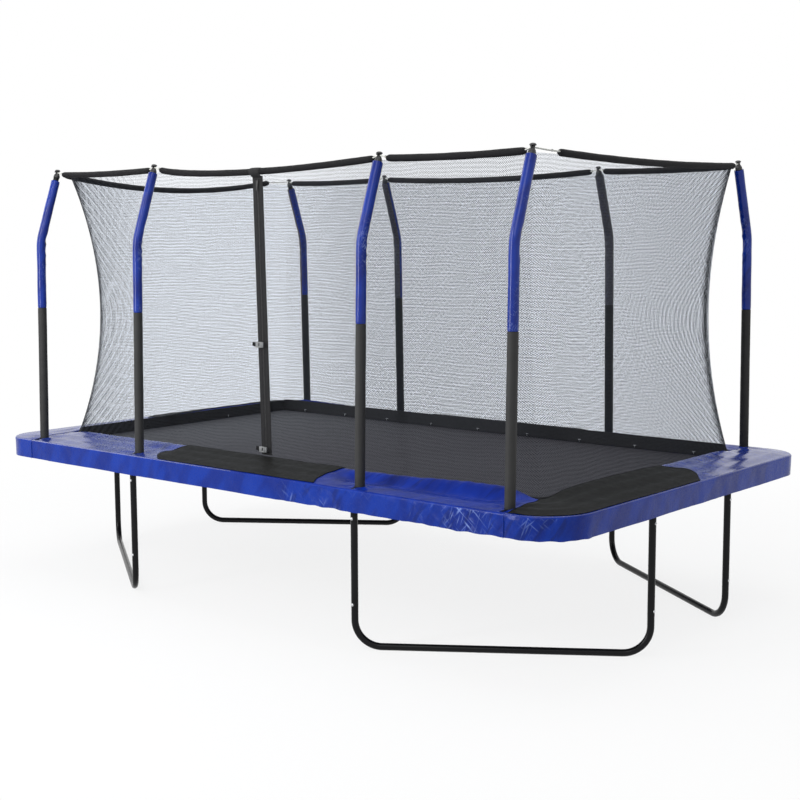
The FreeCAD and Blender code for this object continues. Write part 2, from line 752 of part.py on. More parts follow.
def hem_ties():
    """Elastic loops from each end of the hem to the hook beside it."""
    ties = []
    for side_y in (-1, 1):
        for x in POLE_X:
            hook = hook_root(x, side_y)[2] + UP * TIE_RISE
            for side_x in (-1, 1):
                if x + side_x < POLE_X[0] or x + side_x > POLE_X[3]:
                    continue
                start = hook + V(side_x * (HOOK_WIDTH / 2 + TIE_R), 0, 0)
                end = V(x + side_x * (LONG_HEM_SETBACK - TIE_R), side_y * HEM_Y, HEM_END_Z + TIE_LIFT)
                ties.append(square_cord(start, end))
            if abs(x) == POLE_X[3]:
                setback = SHORT_HEM_NEAR if x * side_y > 0 else SHORT_HEM_FAR
                start = hook - V(0, side_y * (HOOK_HALF + TIE_R), 0)
                end = V(x, side_y * (HEM_Y - setback + TIE_R), HEM_END_Z + TIE_LIFT)
                ties.append(square_cord(start, end))
    return group(ties)


# Door

def wall_point(height, lift):
    """A point in front of the front wall at a height."""
    share = (height - NET_FOOT_Z) / (NET_TOP_Z - NET_FOOT_Z)
    depth = NET_FOOT_Y + share * (NET_TOP_Y - NET_FOOT_Y)
    return V(DOOR_X, -(depth + NET_THICKNESS + lift), height)


def wall_strip(centre_x, width, foot_z, top_z, lift, thickness):
    """A flat band lying against the front wall."""
    foot = wall_point(foot_z, lift) + V(centre_x - width / 2, 0, 0)
    top = wall_point(top_z, lift) + V(centre_x - width / 2, 0, 0)
    across = V(width, 0, 0)
    corners = [foot, foot + across, top + across, top]
    return Part.Face(Part.makePolygon(corners + corners[:1])).extrude(V(0, -thickness, 0))


def zip_tape():
    """Two cloth tapes with a raised row of teeth down the middle."""
    tape = wall_strip(0, ZIP_WIDTH, ZIP_FOOT_Z, ZIP_TOP_Z, 0.3, ZIP_THICKNESS)
    teeth = wall_strip(0, ZIP_TEETH_WIDTH, ZIP_FOOT_Z + 12, ZIP_TOP_Z - 12, 0.3, ZIP_THICKNESS + 2.0)
    return fuse([tape, teeth])


def zip_slider():
    """A slider body over the teeth, with a hanging pull tab."""
    teeth_front = 0.3 + ZIP_THICKNESS + 2.0
    body = wall_strip(0, 16.0, SLIDER_Z, SLIDER_Z + 26.0, teeth_front + 0.4, 5.0)
    body = body.makeChamfer(2.0, [edge for edge in body.Edges if abs(edge.tangentAt(0).y) > 0.9])
    tab = wall_strip(0, 10.0, SLIDER_Z - 34.0, SLIDER_Z + 8.0, teeth_front + 6.2, 2.0)
    bridge = wall_strip(0, 6.0, SLIDER_Z + 2.0, SLIDER_Z + 8.0, teeth_front + 5.0, 2.0)
    return fuse([body, bridge, tab])


def buckle_socket(height):
    """The female half: an open box with side windows, on a strap sewn left of the zip."""
    base = wall_point(height, BUCKLE_LIFT)
    low = base + V(-BUCKLE_WIDTH + 4.0, -BUCKLE_THICKNESS, -BUCKLE_HEIGHT / 2)
    high = base + V(4.0, 0, BUCKLE_HEIGHT / 2)
    shell = box(low, high)
    shell = shell.makeChamfer(3.0, [edge for edge in shell.Edges if abs(edge.tangentAt(0).x) > 0.9])
    cavity = box(low + V(8.0, 3.0, 4.0), high + V(10.0, -3.0, -4.0))
    window = box(V(high.x - 24.0, low.y - 5.0, base.z - 9.0), V(high.x - 10.0, low.y + 5.0, base.z + 9.0))
    strap_end = low.x - STRAP_REACH
    strap = box(V(strap_end, high.y - 2.5, base.z - 12.5), V(low.x + 1.0, high.y - 0.5, base.z + 12.5))
    foot = box(V(strap_end, high.y - 1.0, base.z - 12.5),
               V(strap_end + STRAP_FOOT, high.y + BUCKLE_LIFT - 0.5, base.z + 12.5))
    return fuse([shell.cut(cavity).cut(window), strap, foot])


def buckle_plug(height):
    """The male half: two sprung prongs on a bar, with its strap to the right."""
    base = wall_point(height, BUCKLE_LIFT)
    face = base.x + 4.0 + 0.5
    middle_y = base.y - BUCKLE_THICKNESS / 2
    grip = box(V(face, middle_y - 5.5, base.z - 16.0), V(face + 15.0, middle_y + 5.5, base.z + 16.0))
    grip = grip.makeChamfer(3.0, [edge for edge in grip.Edges if abs(edge.tangentAt(0).x) > 0.9])
    prongs = [box(V(face - 26.0, middle_y - 2.8, base.z + side * 9.0 - 2.0),
                  V(face + 2.0, middle_y + 2.8, base.z + side * 9.0 + 2.0)) for side in (-1, 1)]
    strap = box(V(face + 13.0, base.y - 2.5, base.z - 12.5),
                V(face + STRAP_REACH, base.y - 0.5, base.z + 12.5))
    return fuse([grip, strap] + prongs)


# Build and export

def main():
    for name, (side_x, side_y) in CORNERS.items():
        export("corner_rail_" + name, corner_rail(side_x, side_y))
        export("leg_upper_" + name, upper_legs(side_x, side_y))
        export("leg_lower_" + name, lower_leg(side_x, side_y))
    export("tee_sockets", group([tee_socket(*place) for place in leg_places()]))
    export("leg_screws", leg_screws())
    for name, side in (("front", -1), ("back", 1)):
        export("long_rail_" + name, long_rail(side))
        export("pole_lower_" + name, group([pole_lower(x, side) for x in POLE_X]))
        export("foam_sleeves_" + name, group([foam_sleeve(x, side) for x in POLE_X]))
        export("cover_sleeves_" + name, group([cover_sleeve(x, side) for x in POLE_X]))
        for index, x in enumerate(POLE_X):
            export("pole_upper_" + name + "_" + str(index + 1), pole_upper(x, side))
    for name, side in (("left", -1), ("right", 1)):
        export("short_rail_" + name, short_rail(side))
    places = [(x, side_y) for side_y in (-1, 1) for x in POLE_X]
    export("pole_caps", group([pole_cap(x, side_y) for x, side_y in places]))
    export("pole_brackets", group([pole_bracket(x, side_y, TEE_R if abs(x) < 1000 else RAIL_R)
                                   for x, side_y in places]))
    export("bracket_bolts", group([bracket_bolt(x, side_y) for x, side_y in places]))
    export("mat", mat())
    rings = []
    for side in ("front", "back", "left", "right"):
        spots = LONG_SPRING_PLACES if side in ("front", "back") else SHORT_SPRING_PLACES
        export("springs_" + side, group([spring(side, place) for place in spots]))
        rings += [mat_ring(side, place) for place in spots]
    export("mat_rings", group(rings))
    for name, pad in pad_pieces().items():
        export(name, pad)
    export("pad_panels", pad_panels())
    straps = [pad_strap(side, place) for side in ("front", "back") for place in LONG_STRAP_PLACES]
    straps += [pad_strap(side, place) for side in ("left", "right") for place in SHORT_STRAP_PLACES]
    export("pad_straps", group(straps))
    hem_cutter = group(hem_runs(HEM_R + 0.1))
    export("top_hem", group(hem_runs(HEM_R)))
    export("hem_ties", hem_ties())
    front_net = long_net().cut(hem_cutter)
    right_net = short_net().cut(hem_cutter)
    export("net_front", front_net)
    export("net_back", mirror_y(front_net))
    export("net_left", half_turn(right_net))
    export("net_right", right_net)
    export("door_zip", zip_tape())
    export("zip_slider", zip_slider())
    export("buckle_sockets", group([buckle_socket(height) for height in BUCKLE_Z]))
    export("buckle_plug_lower", buckle_plug(BUCKLE_Z[0]))
    export("buckle_plug_upper", buckle_plug(BUCKLE_Z[1]))


main()
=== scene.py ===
"""The looks of a rectangular garden trampoline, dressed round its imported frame.

Metres, +Z up, X along the long side, the zipped door in the front wall at -Y.
"""

import math

import bmesh
import bpy
import numpy as np
from mathutils import Matrix, Vector, noise


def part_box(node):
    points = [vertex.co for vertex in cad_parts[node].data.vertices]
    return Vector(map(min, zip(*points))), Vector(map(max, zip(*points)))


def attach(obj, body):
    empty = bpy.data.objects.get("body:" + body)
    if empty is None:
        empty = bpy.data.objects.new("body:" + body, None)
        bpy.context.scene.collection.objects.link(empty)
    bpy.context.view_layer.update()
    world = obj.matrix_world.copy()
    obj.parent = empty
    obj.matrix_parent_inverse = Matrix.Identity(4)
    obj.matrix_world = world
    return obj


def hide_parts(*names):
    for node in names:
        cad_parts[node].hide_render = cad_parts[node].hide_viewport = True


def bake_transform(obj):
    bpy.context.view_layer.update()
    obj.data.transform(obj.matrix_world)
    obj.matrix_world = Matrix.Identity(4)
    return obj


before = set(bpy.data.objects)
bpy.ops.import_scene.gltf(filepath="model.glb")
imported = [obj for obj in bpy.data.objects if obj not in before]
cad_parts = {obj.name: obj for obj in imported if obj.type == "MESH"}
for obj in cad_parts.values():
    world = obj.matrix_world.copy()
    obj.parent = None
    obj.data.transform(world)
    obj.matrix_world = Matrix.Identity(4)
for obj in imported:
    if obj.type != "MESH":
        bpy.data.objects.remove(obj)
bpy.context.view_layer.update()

# Top frame and legs
RAIL_R = 0.024
RAIL_Z = 0.846
RAIL_X = 2.262
RAIL_Y = 1.336
CORNER_R = 0.25
TEE_R = 0.028
TEE_HALF = 0.07
TEE_END_Z = 0.757
LEG_X = 0.94
LEG_Y = 0.43
LEG_R = 0.02
LEG_BEND_R = 0.15
LEG_JOINT_Z = 0.23
SCREW_R = 0.006

# Enclosure poles
POLE_X = (-1.94, -0.936, 0.936, 1.94)
POLE_Y = 1.284
POLE_R = 0.019
POLE_FOOT_Z = 0.8
POLE_JOINT_Z = 1.5
POLE_BEND_Z = 2.24
POLE_BEND_R = 0.26
POLE_TOP_Z = 2.668
POLE_LEAN = 0.02
POLE_TILT = math.radians(18.5)
SLEEVE_R = 0.029
FOAM_FOOT_Z = 0.878
COVER_START_Z = 1.79
COVER_END_Z = 2.655
SHORT_COVERS = {("front", 1): 2.634, ("back", 1): 2.636}
CAP_R = 0.021
CAP_HEIGHT = 0.024

# Bed
MAT_Z = 0.8625
MAT_X = 2.03
MAT_Y = 1.104
MAT_CORNER = 0.07
MAT_EDGE = 0.005
MAT_THICKNESS = 0.002
RING_LENGTH = 0.034
RING_WIDTH = 0.03
SPRING_R = 0.011
SPRING_WIRE = 0.0016
SPRING_TAPER = 0.03
SPRING_TURNS = 26
COIL_STEPS = 12
SPRING_PITCH = {"front": 0.198, "back": 0.198, "left": 0.2, "right": 0.2}
SPRINGS_PER_HALF = {"front": 9, "back": 9, "left": 5, "right": 5}

# Padding
PAD_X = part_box("pad_right")[1].x
PAD_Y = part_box("pad_back")[1].y
PAD_INNER_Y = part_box("pad_back")[0].y
PAD_WIDTH = PAD_Y - PAD_INNER_Y
PAD_INNER_X = PAD_X - PAD_WIDTH
PAD_WIDE_CORNER_R = 0.29
PAD_TIGHT_CORNER_R = 0.22
SEAM_X = 1.965
SKIRT_END_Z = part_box("pad_back")[0].z
PAD_UNDERSIDE = 0.876
PAD_CREASE_Z = 0.889
SLOPE_KNOTS = ((0.012, 0.901), (0.118, 0.912), (0.228, 0.925), (0.322, 0.938))
VALLEY_KNOTS = ((0.012, 0.901), (0.118, 0.9055), (0.228, 0.892), (0.322, 0.94))
LIP_R = 0.009

# Safety net
NET_FOOT_Z = 0.87
NET_TOP_Z = 2.65
NET_FOOT = (1.9645, 1.0363)
NET_TOP = (1.935, 1.08)
NET_WAIST = 0.127
NET_CORNERS = {(-1, -1): ((1.9445, 1.017), (1.888, 1.04), 0.131), (1, 1): (NET_FOOT, (1.919, 1.064), 0.113)}
FOOT_BAND_TOPS = {"front": 0.926, "back": 0.954, "left": 0.945, "right": 0.926}
NET_HALF_THICKNESS = 0.002
HEM_R = 0.0195
HEM_END_Z = 2.676
HEM_Y = 1.096
HEM_SAGS = {"front": ((0.008, 1.0), (0.040, 0.75), (0.008, 1.0)),
            "back": ((0.008, 1.0), (0.026, 1.0), (0.008, 1.0)),
            "left": ((0.080, 1.0),), "right": ((0.018, 1.0),)}
LONG_HEM_SETBACK = 0.05
SHORT_HEM_NEAR = 0.05
SHORT_HEM_FAR = 0.225

# Door
DOOR_X = -0.03
ZIP_WIDTH = 0.084
ZIP_FOOT_Z = 0.95
ZIP_TOP_Z = 2.612
SLIDER_Z = 2.56
BUCKLE_Z = (0.984, 1.618)
BUCKLE_LIFT = 0.0132

CORNERS = {"front_left": (-1, -1), "front_right": (1, -1), "back_left": (-1, 1), "back_right": (1, 1)}
LONG_SIDES = {"front": -1, "back": 1}
SHORT_SIDES = {"left": -1, "right": 1}
SIDES = {**LONG_SIDES, **SHORT_SIDES}


# Materials

class Level:
    """A value, colour or shader in a node tree. Values add, subtract and multiply as numbers do."""

    def __init__(self, graph, socket):
        self.graph = graph
        self.socket = socket

    def __add__(self, other):
        return self.graph.maths("ADD", self, other)

    def __sub__(self, other):
        return self.graph.maths("SUBTRACT", self, other)

    def __rsub__(self, other):
        return self.graph.maths("SUBTRACT", other, self)

    def __mul__(self, other):
        return self.graph.maths("MULTIPLY", self, other)


class Graph:
    """A material's or world's node tree, with short calls that add nodes and join them."""

    def __init__(self, name, kinds=bpy.data.materials, output="ShaderNodeOutputMaterial"):
        self.owner = kinds.new(name)
        self.owner.use_nodes = True
        self.tree = self.owner.node_tree
        self.tree.nodes.clear()
        self.output = output

    def feed(self, socket, value):
        if isinstance(value, Level):
            self.tree.links.new(value.socket, socket)
        elif value is not None:
            socket.default_value = value

    def node(self, kind, settings=None, values=(), **named):
        """A new node with its settings, its first inputs in order and others by name."""
        node = self.tree.nodes.new(kind)
        for key, value in (settings or {}).items():
            setattr(node, key, value)
        for socket, value in zip(node.inputs, values):
            self.feed(socket, value)
        for key, value in named.items():
            self.feed(node.inputs[key.replace("_", " ")], value)
        return node

    def add(self, kind, settings=None, values=(), output=0, **named):
        return Level(self, self.node(kind, settings, values, **named).outputs[output])

    @property
    def place(self):
        return self.add("ShaderNodeTexCoord", output="Object")

    def maths(self, operation, *values):
        return self.add("ShaderNodeMath", {"operation": operation}, values)

    def wave(self, value, period=1.0):
        return self.maths("SINE", value * (2 * math.pi / period))

    def parts(self, vector):
        outputs = self.node("ShaderNodeSeparateXYZ", Vector=vector).outputs
        return [Level(self, output) for output in outputs]

    def mark(self, name, output="Fac"):
        """What a mesh attribute says at a point."""
        return self.add("ShaderNodeAttribute", {"attribute_name": name}, output=output)

    def stretched(self, scale):
        return self.add("ShaderNodeMapping", Vector=self.place, Scale=scale)

    def leaned(self, angle, across, along):
        """Places on the laid-out cloth, turned to a slant and then drawn out along it."""
        return self.add("ShaderNodeMapping", {"vector_type": "TEXTURE"}, Vector=self.mark("lay", "Vector"),
                        Rotation=(0.0, 0.0, angle), Scale=(across, along, 1.0))

    def noise(self, scale, detail=2.0, ridged=False, place=None):
        settings = {"noise_type": "RIDGED_MULTIFRACTAL"} if ridged else {}
        return self.add("ShaderNodeTexNoise", settings, Vector=place or self.place,
                        Scale=scale, Detail=detail)

    def spread(self, value, low, high):
        """A value from 0 to 1 as one from low to high."""
        return self.add("ShaderNodeMapRange", Value=value, To_Min=low, To_Max=high)

    def within(self, value, start, end):
        """0 below start, 1 above end, and smooth between."""
        settings = {"interpolation_type": "SMOOTHSTEP"}
        return self.add("ShaderNodeMapRange", settings, Value=value, From_Min=start, From_Max=end)

    def tint(self, share, low, high):
        """The colour at a share of the way from low to high."""
        node = self.node("ShaderNodeMix", {"data_type": "RGBA"})
        for index, value in ((0, share), (6, low), (7, high)):
            self.feed(node.inputs[index], value)
        return Level(self, node.outputs[2])

    def bump(self, height, distance, normal=None):
        return self.add("ShaderNodeBump", Height=height, Distance=distance, Normal=normal)

    def surface(self, colour, roughness, normal=None, **others):
        return self.add("ShaderNodeBsdfPrincipled", Base_Color=colour, Roughness=roughness,
                        Normal=normal, **others)

    def mixed(self, share, first, second):
        return self.add("ShaderNodeMixShader", values=(share, first, second))

    def finish(self, surface):
        self.node(self.output, Surface=surface)
        return self.owner


def shade(*levels):
    return (*levels, 1.0)


def grey(level):
    return shade(level, level, level)


def painted_steel():
    """Black gloss powder coat with a faint orange peel and dust."""
    g = Graph("painted_steel")
    colour = g.tint(g.noise(9.0, 4.0), shade(0.004, 0.004, 0.0045), shade(0.011, 0.011, 0.012))
    roughness = g.spread(g.noise(40.0, 3.0), 0.12, 0.26)
    peel = g.bump(g.noise(500.0, 1.0), 0.0002)
    return g.finish(g.surface(colour, roughness, peel, Specular_IOR_Level=0.14))


def zinc_plate():
    """Bright zinc with a spangle and duller patches."""
    g = Graph("zinc_plate")
    colour = g.tint(g.noise(160.0, 3.0), shade(0.42, 0.43, 0.45), shade(0.66, 0.66, 0.67))
    roughness = g.spread(g.noise(70.0, 2.0), 0.24, 0.46)
    grain = g.bump(g.noise(700.0, 1.0), 0.0001)
    return g.finish(g.surface(colour, roughness, grain, Metallic=1.0))


# SHADOW_BLUE paints shade beside the vinyl's crinkles, and GLINT_BLUE paints highlights on them.
SHADOW_BLUE = shade(0.002, 0.008, 0.085)
GLINT_BLUE = shade(0.30, 0.42, 0.86)


def streaks(g, crinkled, across, along):
    """Where painted glints show: thin straight lines in clusters, leaning several ways, where the cloth is
    crinkled.
    """
    lines = [g.noise(1.0, 0.0, place=g.leaned(angle, across, along)) for angle in (-0.75, -0.35, 0.85)]
    line = g.maths("MAXIMUM", g.maths("MAXIMUM", *lines[:2]), lines[2])
    patches = g.within(g.noise(6.0, 4.0), 0.44, 0.72)
    return g.within(line, 0.61, 0.88) * patches * g.within(crinkled, 0.2, 0.9)


def vinyl(name, dark, light, rough_from, rough_to, depth, gloss, strip=None, glints=0.0,
          streak=(0.010, 0.11)):
    """Coated cloth: a faint scrim, scuffs, tone that varies at random and with painted fold light and shade,
    and crinkles where the mesh marks them, with painted shadows and painted glints along them.

    Depth is the crinkles' relief, glints how strongly the painted glints show, and streak a glint's width and
    length. A strip colour, if any, shows where the mesh marks the first flat value.
    """
    g = Graph(name)
    # The crinkle mark gives the relief, and also where the painted shadows and painted glints show.
    crinkled = g.mark("crinkle")
    # Broad lighter and darker patches: painted light and shade of folds, mixed with tone that varies at
    # random.
    fold_light_and_shade = g.within(g.noise(1.0, 2.0, place=g.leaned(-0.5, 0.11, 0.30)), 0.36, 0.64)
    colour = g.tint(fold_light_and_shade * 0.6 + g.noise(2.4, 4.0) * 0.4, dark, light)
    roughness = g.spread(g.noise(34.0, 5.0), rough_from, rough_to)
    slanted = g.stretched((1.0, 1.0, 0.55))
    creases = g.noise(13.0, 5.0, ridged=True, place=slanted)
    fine = g.noise(44.0, 4.0, ridged=True, place=slanted)
    crinkles = (creases + fine * 0.35) * crinkled
    folds = g.bump(g.noise(12.0, 3.0) * 0.4 + crinkles * 0.9, depth)
    scrim = (g.noise(520.0, 0.0, place=g.stretched((1.0, 0.25, 1.0)))
             + g.noise(520.0, 0.0, place=g.stretched((0.25, 1.0, 0.25))))
    normal = g.bump(scrim, 0.00012, folds)
    # Painted shadows beside the crinkles.
    shadows = g.within(g.noise(1.0, 2.0, place=g.leaned(-0.6, 0.035, 0.20)), 0.52, 0.64)
    colour = g.tint(shadows * g.within(crinkled, 0.2, 0.9) * 0.45, colour, SHADOW_BLUE)
    # Painted glints over the crinkles.
    colour = g.tint(streaks(g, crinkled, *streak) * glints, colour, GLINT_BLUE)
    if strip:
        flecks = g.within(g.noise(60.0, 4.0, place=g.stretched((1.0, 1.0, 0.5))), 0.62, 0.74)
        covered = g.within(g.parts(g.mark("flat", "Vector"))[0], 0.45, 0.55)
        colour = g.tint(covered, colour, g.tint(flecks * 0.3, strip, light))
    return g.finish(g.surface(colour, roughness, normal, Specular_IOR_Level=gloss))


def foam(name, dark, light):
    """Closed-cell foam tube: matt charcoal with a fine cell texture."""
    g = Graph(name)
    colour = g.tint(g.noise(11.0, 4.0), dark, light)
    cells = g.noise(420.0, 2.0)
    normal = g.bump(cells, 0.0005, g.bump(g.noise(14.0, 2.0), 0.004))
    return g.finish(g.surface(colour, g.spread(cells, 0.5, 0.72), normal, Specular_IOR_Level=0.35))


def webbing(name, dark, light, scale=90.0):
    """Woven nylon: ribs across and along."""
    g = Graph(name)
    ribs = g.add("ShaderNodeTexWave", {"bands_direction": "DIAGONAL"}, Vector=g.place, Scale=scale,
                 Distortion=1.2, Detail=2.0)
    colour = g.tint(ribs * g.noise(50.0, 3.0), dark, light)
    roughness = g.spread(ribs, 0.55, 0.8)
    return g.finish(g.surface(colour, roughness, g.bump(ribs, 0.0006), Specular_IOR_Level=0.12))


def mat_cloth():
    """Woven polypropylene: flat tapes both ways, with streaks along the weave, and a painted sheen that makes
    it paler towards the left.
    """
    g = Graph("mat_cloth")
    tapes = g.noise(1.0, 2.0, place=g.stretched((7.0, 260.0, 1.0)))
    crossed = g.noise(1.0, 2.0, place=g.stretched((260.0, 7.0, 1.0)))
    weave = tapes * 0.62 + crossed * 0.38
    colour = g.tint(weave, shade(0.045, 0.042, 0.046), shade(0.066, 0.062, 0.069))
    colour = g.tint(g.noise(1.3, 3.0) * 0.35, colour, shade(0.070, 0.067, 0.073))
    # Painted sheen: paler towards -X.
    painted_sheen = g.within(0.0 - g.parts(g.place)[0], -0.3, 2.0)
    colour = g.tint(painted_sheen * 0.5, colour, shade(0.115, 0.118, 0.122))
    bumped = g.bump(weave, 0.0005)
    return g.finish(g.surface(colour, g.spread(weave, 0.62, 0.8), bumped, Specular_IOR_Level=0.10))


NET_PITCH = 0.0085
NET_THREAD = 0.00059
NET_RIPPLE = 0.00026
NET_GATHER = 0.0030
FAN_STRENGTH = 2.4
UPRIGHT_PITCH = 0.020


def net_cloth():
    """Knitted mesh: two sets of slanting threads, thicker in ripples and where it is gathered.

    The mesh marks each place on the laid-out net, the level ripples, and a fan of slanting ones
    with its weight.
    """
    g = Graph("net_cloth")
    along, height, ripple = g.parts(g.mark("flat", "Vector"))
    fan, weight = g.parts(g.mark("lay", "Vector"))[:2]
    level = g.wave(ripple + g.spread(g.noise(2.4), -1.6, 1.6))
    slanting = g.wave(fan + g.spread(g.noise(2.4), -0.6, 0.6))
    upright = g.wave(along + g.spread(g.noise(5.0), -0.02, 0.02), UPRIGHT_PITCH)
    swing = level * (1.0 - weight) + slanting * (weight * FAN_STRENGTH) + upright * 0.3
    patchy = g.spread(g.noise(2.2, 3.0), 0.55, 1.25)
    half = swing * patchy * NET_RIPPLE + g.mark("crinkle") * NET_GATHER + NET_THREAD
    threads = []
    for slant in (along + height, along - height):
        off_thread = g.maths("PINGPONG", slant * math.sqrt(0.5), NET_PITCH / 2)
        threads.append(g.maths("LESS_THAN", off_thread, half))
    colour = g.tint(g.noise(30.0), shade(0.020, 0.022, 0.026), shade(0.030, 0.032, 0.037))
    cloth = g.surface(colour, 0.7, Specular_IOR_Level=0.08)
    hole = g.add("ShaderNodeBsdfTransparent", Color=shade(0.935, 0.96, 1.0))
    return g.finish(g.mixed(g.maths("MAXIMUM", *threads), hole, cloth))


def plastic(name, dark, light, roughness):
    """Moulded plastic with a slight texture."""
    g = Graph(name)
    colour = g.tint(g.noise(60.0, 4.0), dark, light)
    uneven = g.spread(g.noise(90.0, 3.0), roughness - 0.07, roughness + 0.09)
    return g.finish(g.surface(colour, uneven, g.bump(g.noise(600.0, 2.0), 0.00015)))


def elastic():
    """Braided cord with pale and dark flecks."""
    g = Graph("elastic_cord")
    flecks = g.add("ShaderNodeTexVoronoi", output="Color", Vector=g.place, Scale=420.0)
    share = g.within(g.add("ShaderNodeSeparateColor", Color=flecks), 0.1, 0.3)
    colour = g.tint(share, shade(0.38, 0.36, 0.28), shade(0.86, 0.86, 0.80))
    return g.finish(g.surface(colour, 0.6, g.bump(share, 0.0003)))


STEEL = painted_steel()
ZINC = zinc_plate()
BLUE = vinyl("blue_vinyl", shade(0.001, 0.016, 0.20), shade(0.003, 0.040, 0.37),
             rough_from=0.20, rough_to=0.36, depth=0.0040, gloss=0.20, glints=0.85)
# Darker copies of the vinyl for the pads' upper faces, painted shade on the tops; the side pads' copy is also
# glossier.
BLUE_TOP = vinyl("blue_vinyl_top", shade(0.001, 0.012, 0.16), shade(0.004, 0.030, 0.32),
                 rough_from=0.24, rough_to=0.42, depth=0.0036, gloss=0.09)
BLUE_SIDE = vinyl("blue_vinyl_side", shade(0.002, 0.016, 0.18), shade(0.006, 0.034, 0.30),
                  rough_from=0.14, rough_to=0.30, depth=0.0036, gloss=0.5)
# A paler, glossier copy for the left half of the front pad's top: painted sheen.
BLUE_PAINTED_SHEEN = vinyl("blue_vinyl_painted_sheen", shade(0.006, 0.020, 0.17), shade(0.020, 0.044, 0.28),
                   rough_from=0.16, rough_to=0.34, depth=0.0036, gloss=1.0)
COVER_BLUE = vinyl("cover_vinyl", shade(0.001, 0.012, 0.17), shade(0.004, 0.036, 0.34),
                   rough_from=0.08, rough_to=0.20, depth=0.0036, gloss=0.30,
                   strip=shade(0.095, 0.088, 0.102), glints=1.0, streak=(0.0050, 0.030))
CHARCOAL = vinyl("charcoal_panel", shade(0.008, 0.008, 0.0075), shade(0.015, 0.015, 0.014),
                 rough_from=0.45, rough_to=0.62, depth=0.0016, gloss=0.05)
FOAM = foam("black_foam", grey(0.016), grey(0.030))
# A darker copy of the foam for the back poles: painted shade.
FOAM_PAINTED_SHADE = foam("foam_painted_shade", grey(0.003), grey(0.007))
WEBBING = webbing("black_webbing", shade(0.008, 0.008, 0.009), shade(0.022, 0.021, 0.023))
GREY_WEBBING = webbing("grey_webbing", shade(0.020, 0.020, 0.021), shade(0.042, 0.041, 0.043))
THREAD = webbing("black_thread", shade(0.006, 0.006, 0.007), shade(0.018, 0.018, 0.020), scale=160.0)
MAT_CLOTH = mat_cloth()
NET = net_cloth()
PLASTIC = plastic("black_plastic", shade(0.012, 0.012, 0.013), shade(0.026, 0.026, 0.028), roughness=0.34)
BUCKLE = plastic("grey_plastic", shade(0.20, 0.205, 0.21), shade(0.28, 0.285, 0.29), roughness=0.38)
TEETH = plastic("zip_plastic", shade(0.012, 0.012, 0.013), shade(0.045, 0.045, 0.048), roughness=0.36)
CORD = elastic()


# Shapes

UP = np.array([0.0, 0.0, 1.0])
LENGTHWISE = (1, 0, 0)
TUBE_SIDES = 32
SLEEVE_SIDES = 40


def unit(vector):
    return vector / np.linalg.norm(vector)


def spots(x, y, z=0.0):
    """Points from their three values, of any matching shapes."""
    return np.stack(np.broadcast_arrays(x, y, z), axis=-1)


def smooth(share):
    share = np.clip(share, 0.0, 1.0)
    return share * share * (3 - 2 * share)


def bell(distance, width):
    """1 at no distance, falling away smoothly on both sides."""
    return np.exp(-(distance / width) ** 2)


def eased(value, knots):
    """Heights through the knots, level at each of them."""
    places, heights = np.array(knots).T
    value = np.clip(value, places[0], places[-1])
    at = np.clip(np.searchsorted(places, value) - 1, 0, len(places) - 2)
    share = smooth((value - places[at]) / (places[at + 1] - places[at]))
    return heights[at] * (1 - share) + heights[at + 1] * share


def rough(points, scale, shift=0.0):
    """Smooth noise from about -1 to 1 at each point of an array."""
    flat = points.reshape(-1, 3) * scale + shift
    return np.array([noise.noise(point) for point in flat.tolist()]).reshape(points.shape[:-1])


def ridges(points, scale, shift=0.0):
    """Sharp-crested noise from about 0 to 1 at each point of an array."""
    return 1.0 - np.abs(rough(points, scale, shift)) * 2.0


def rounded_path(points, radius, step=5.0):
    """Straight runs joined by arcs of one radius, with a point about every step degrees."""
    points = [np.array(point, float) for point in points]
    path = [points[0]]
    for before, corner, after in zip(points, points[1:], points[2:]):
        ahead = unit(corner - before)
        leaving = unit(after - corner)
        turn = math.acos(float(np.clip(ahead @ leaving, -1.0, 1.0)))
        inward = unit(leaving - ahead * math.cos(turn))
        centre = corner - ahead * (radius * math.tan(turn / 2)) + inward * radius
        steps = max(2, round(math.degrees(turn) / step))
        for angle in turn * np.arange(steps + 1) / steps:
            path.append(centre - radius * (inward * math.cos(angle) - ahead * math.sin(angle)))
    path.append(points[-1])
    return np.array(path)


def run_along(path):
    """The distance from the path's start to each of its points."""
    return np.concatenate([[0.0], np.cumsum(np.linalg.norm(np.diff(path, axis=0), axis=1))])


def resample(path, spacing):
    """The same path with evenly spaced points."""
    distance = run_along(path)
    count = max(2, round(distance[-1] / spacing) + 1)
    marks = np.linspace(0.0, distance[-1], count)
    return np.stack([np.interp(marks, distance, path[:, axis]) for axis in range(3)], axis=1)


def around(sides):
    return 2 * math.pi * np.arange(sides) / sides


def headings(path):
    heading = np.gradient(path, axis=0)
    return heading / np.linalg.norm(heading, axis=1)[:, None]


def skin(path, radius, sides, across, flatten=1.0):
    """Rings of points round a path. radius is one number, one per point, or one per point and side."""
    heading, across, angle = headings(path), np.array(across, float), around(sides)
    side = across - heading * (heading @ across)[:, None]
    side /= np.linalg.norm(side, axis=1)[:, None]
    rise = np.cross(heading, side)
    radius = np.array(radius, float)
    radius = radius[:, None] if radius.ndim == 1 else radius
    radius = np.broadcast_to(radius, (len(path), sides))[..., None]
    spokes = np.cos(angle)[None, :, None] * side[:, None]
    spokes = spokes + flatten * np.sin(angle)[None, :, None] * rise[:, None]
    return path[:, None] + radius * spokes


def skin_free(path, radius, sides):
    """Rings round a path that turns every way, each ring turned as little as can be from the last."""
    side, angle = np.cross(headings(path)[0], (0.3, 0.5, 0.8)), around(sides)
    rings = []
    for point, ahead in zip(path, headings(path)):
        side = unit(side - ahead * (side @ ahead))
        rise = np.cross(ahead, side)
        rings.append(point + radius * (np.cos(angle)[:, None] * side + np.sin(angle)[:, None] * rise))
    return np.array(rings)


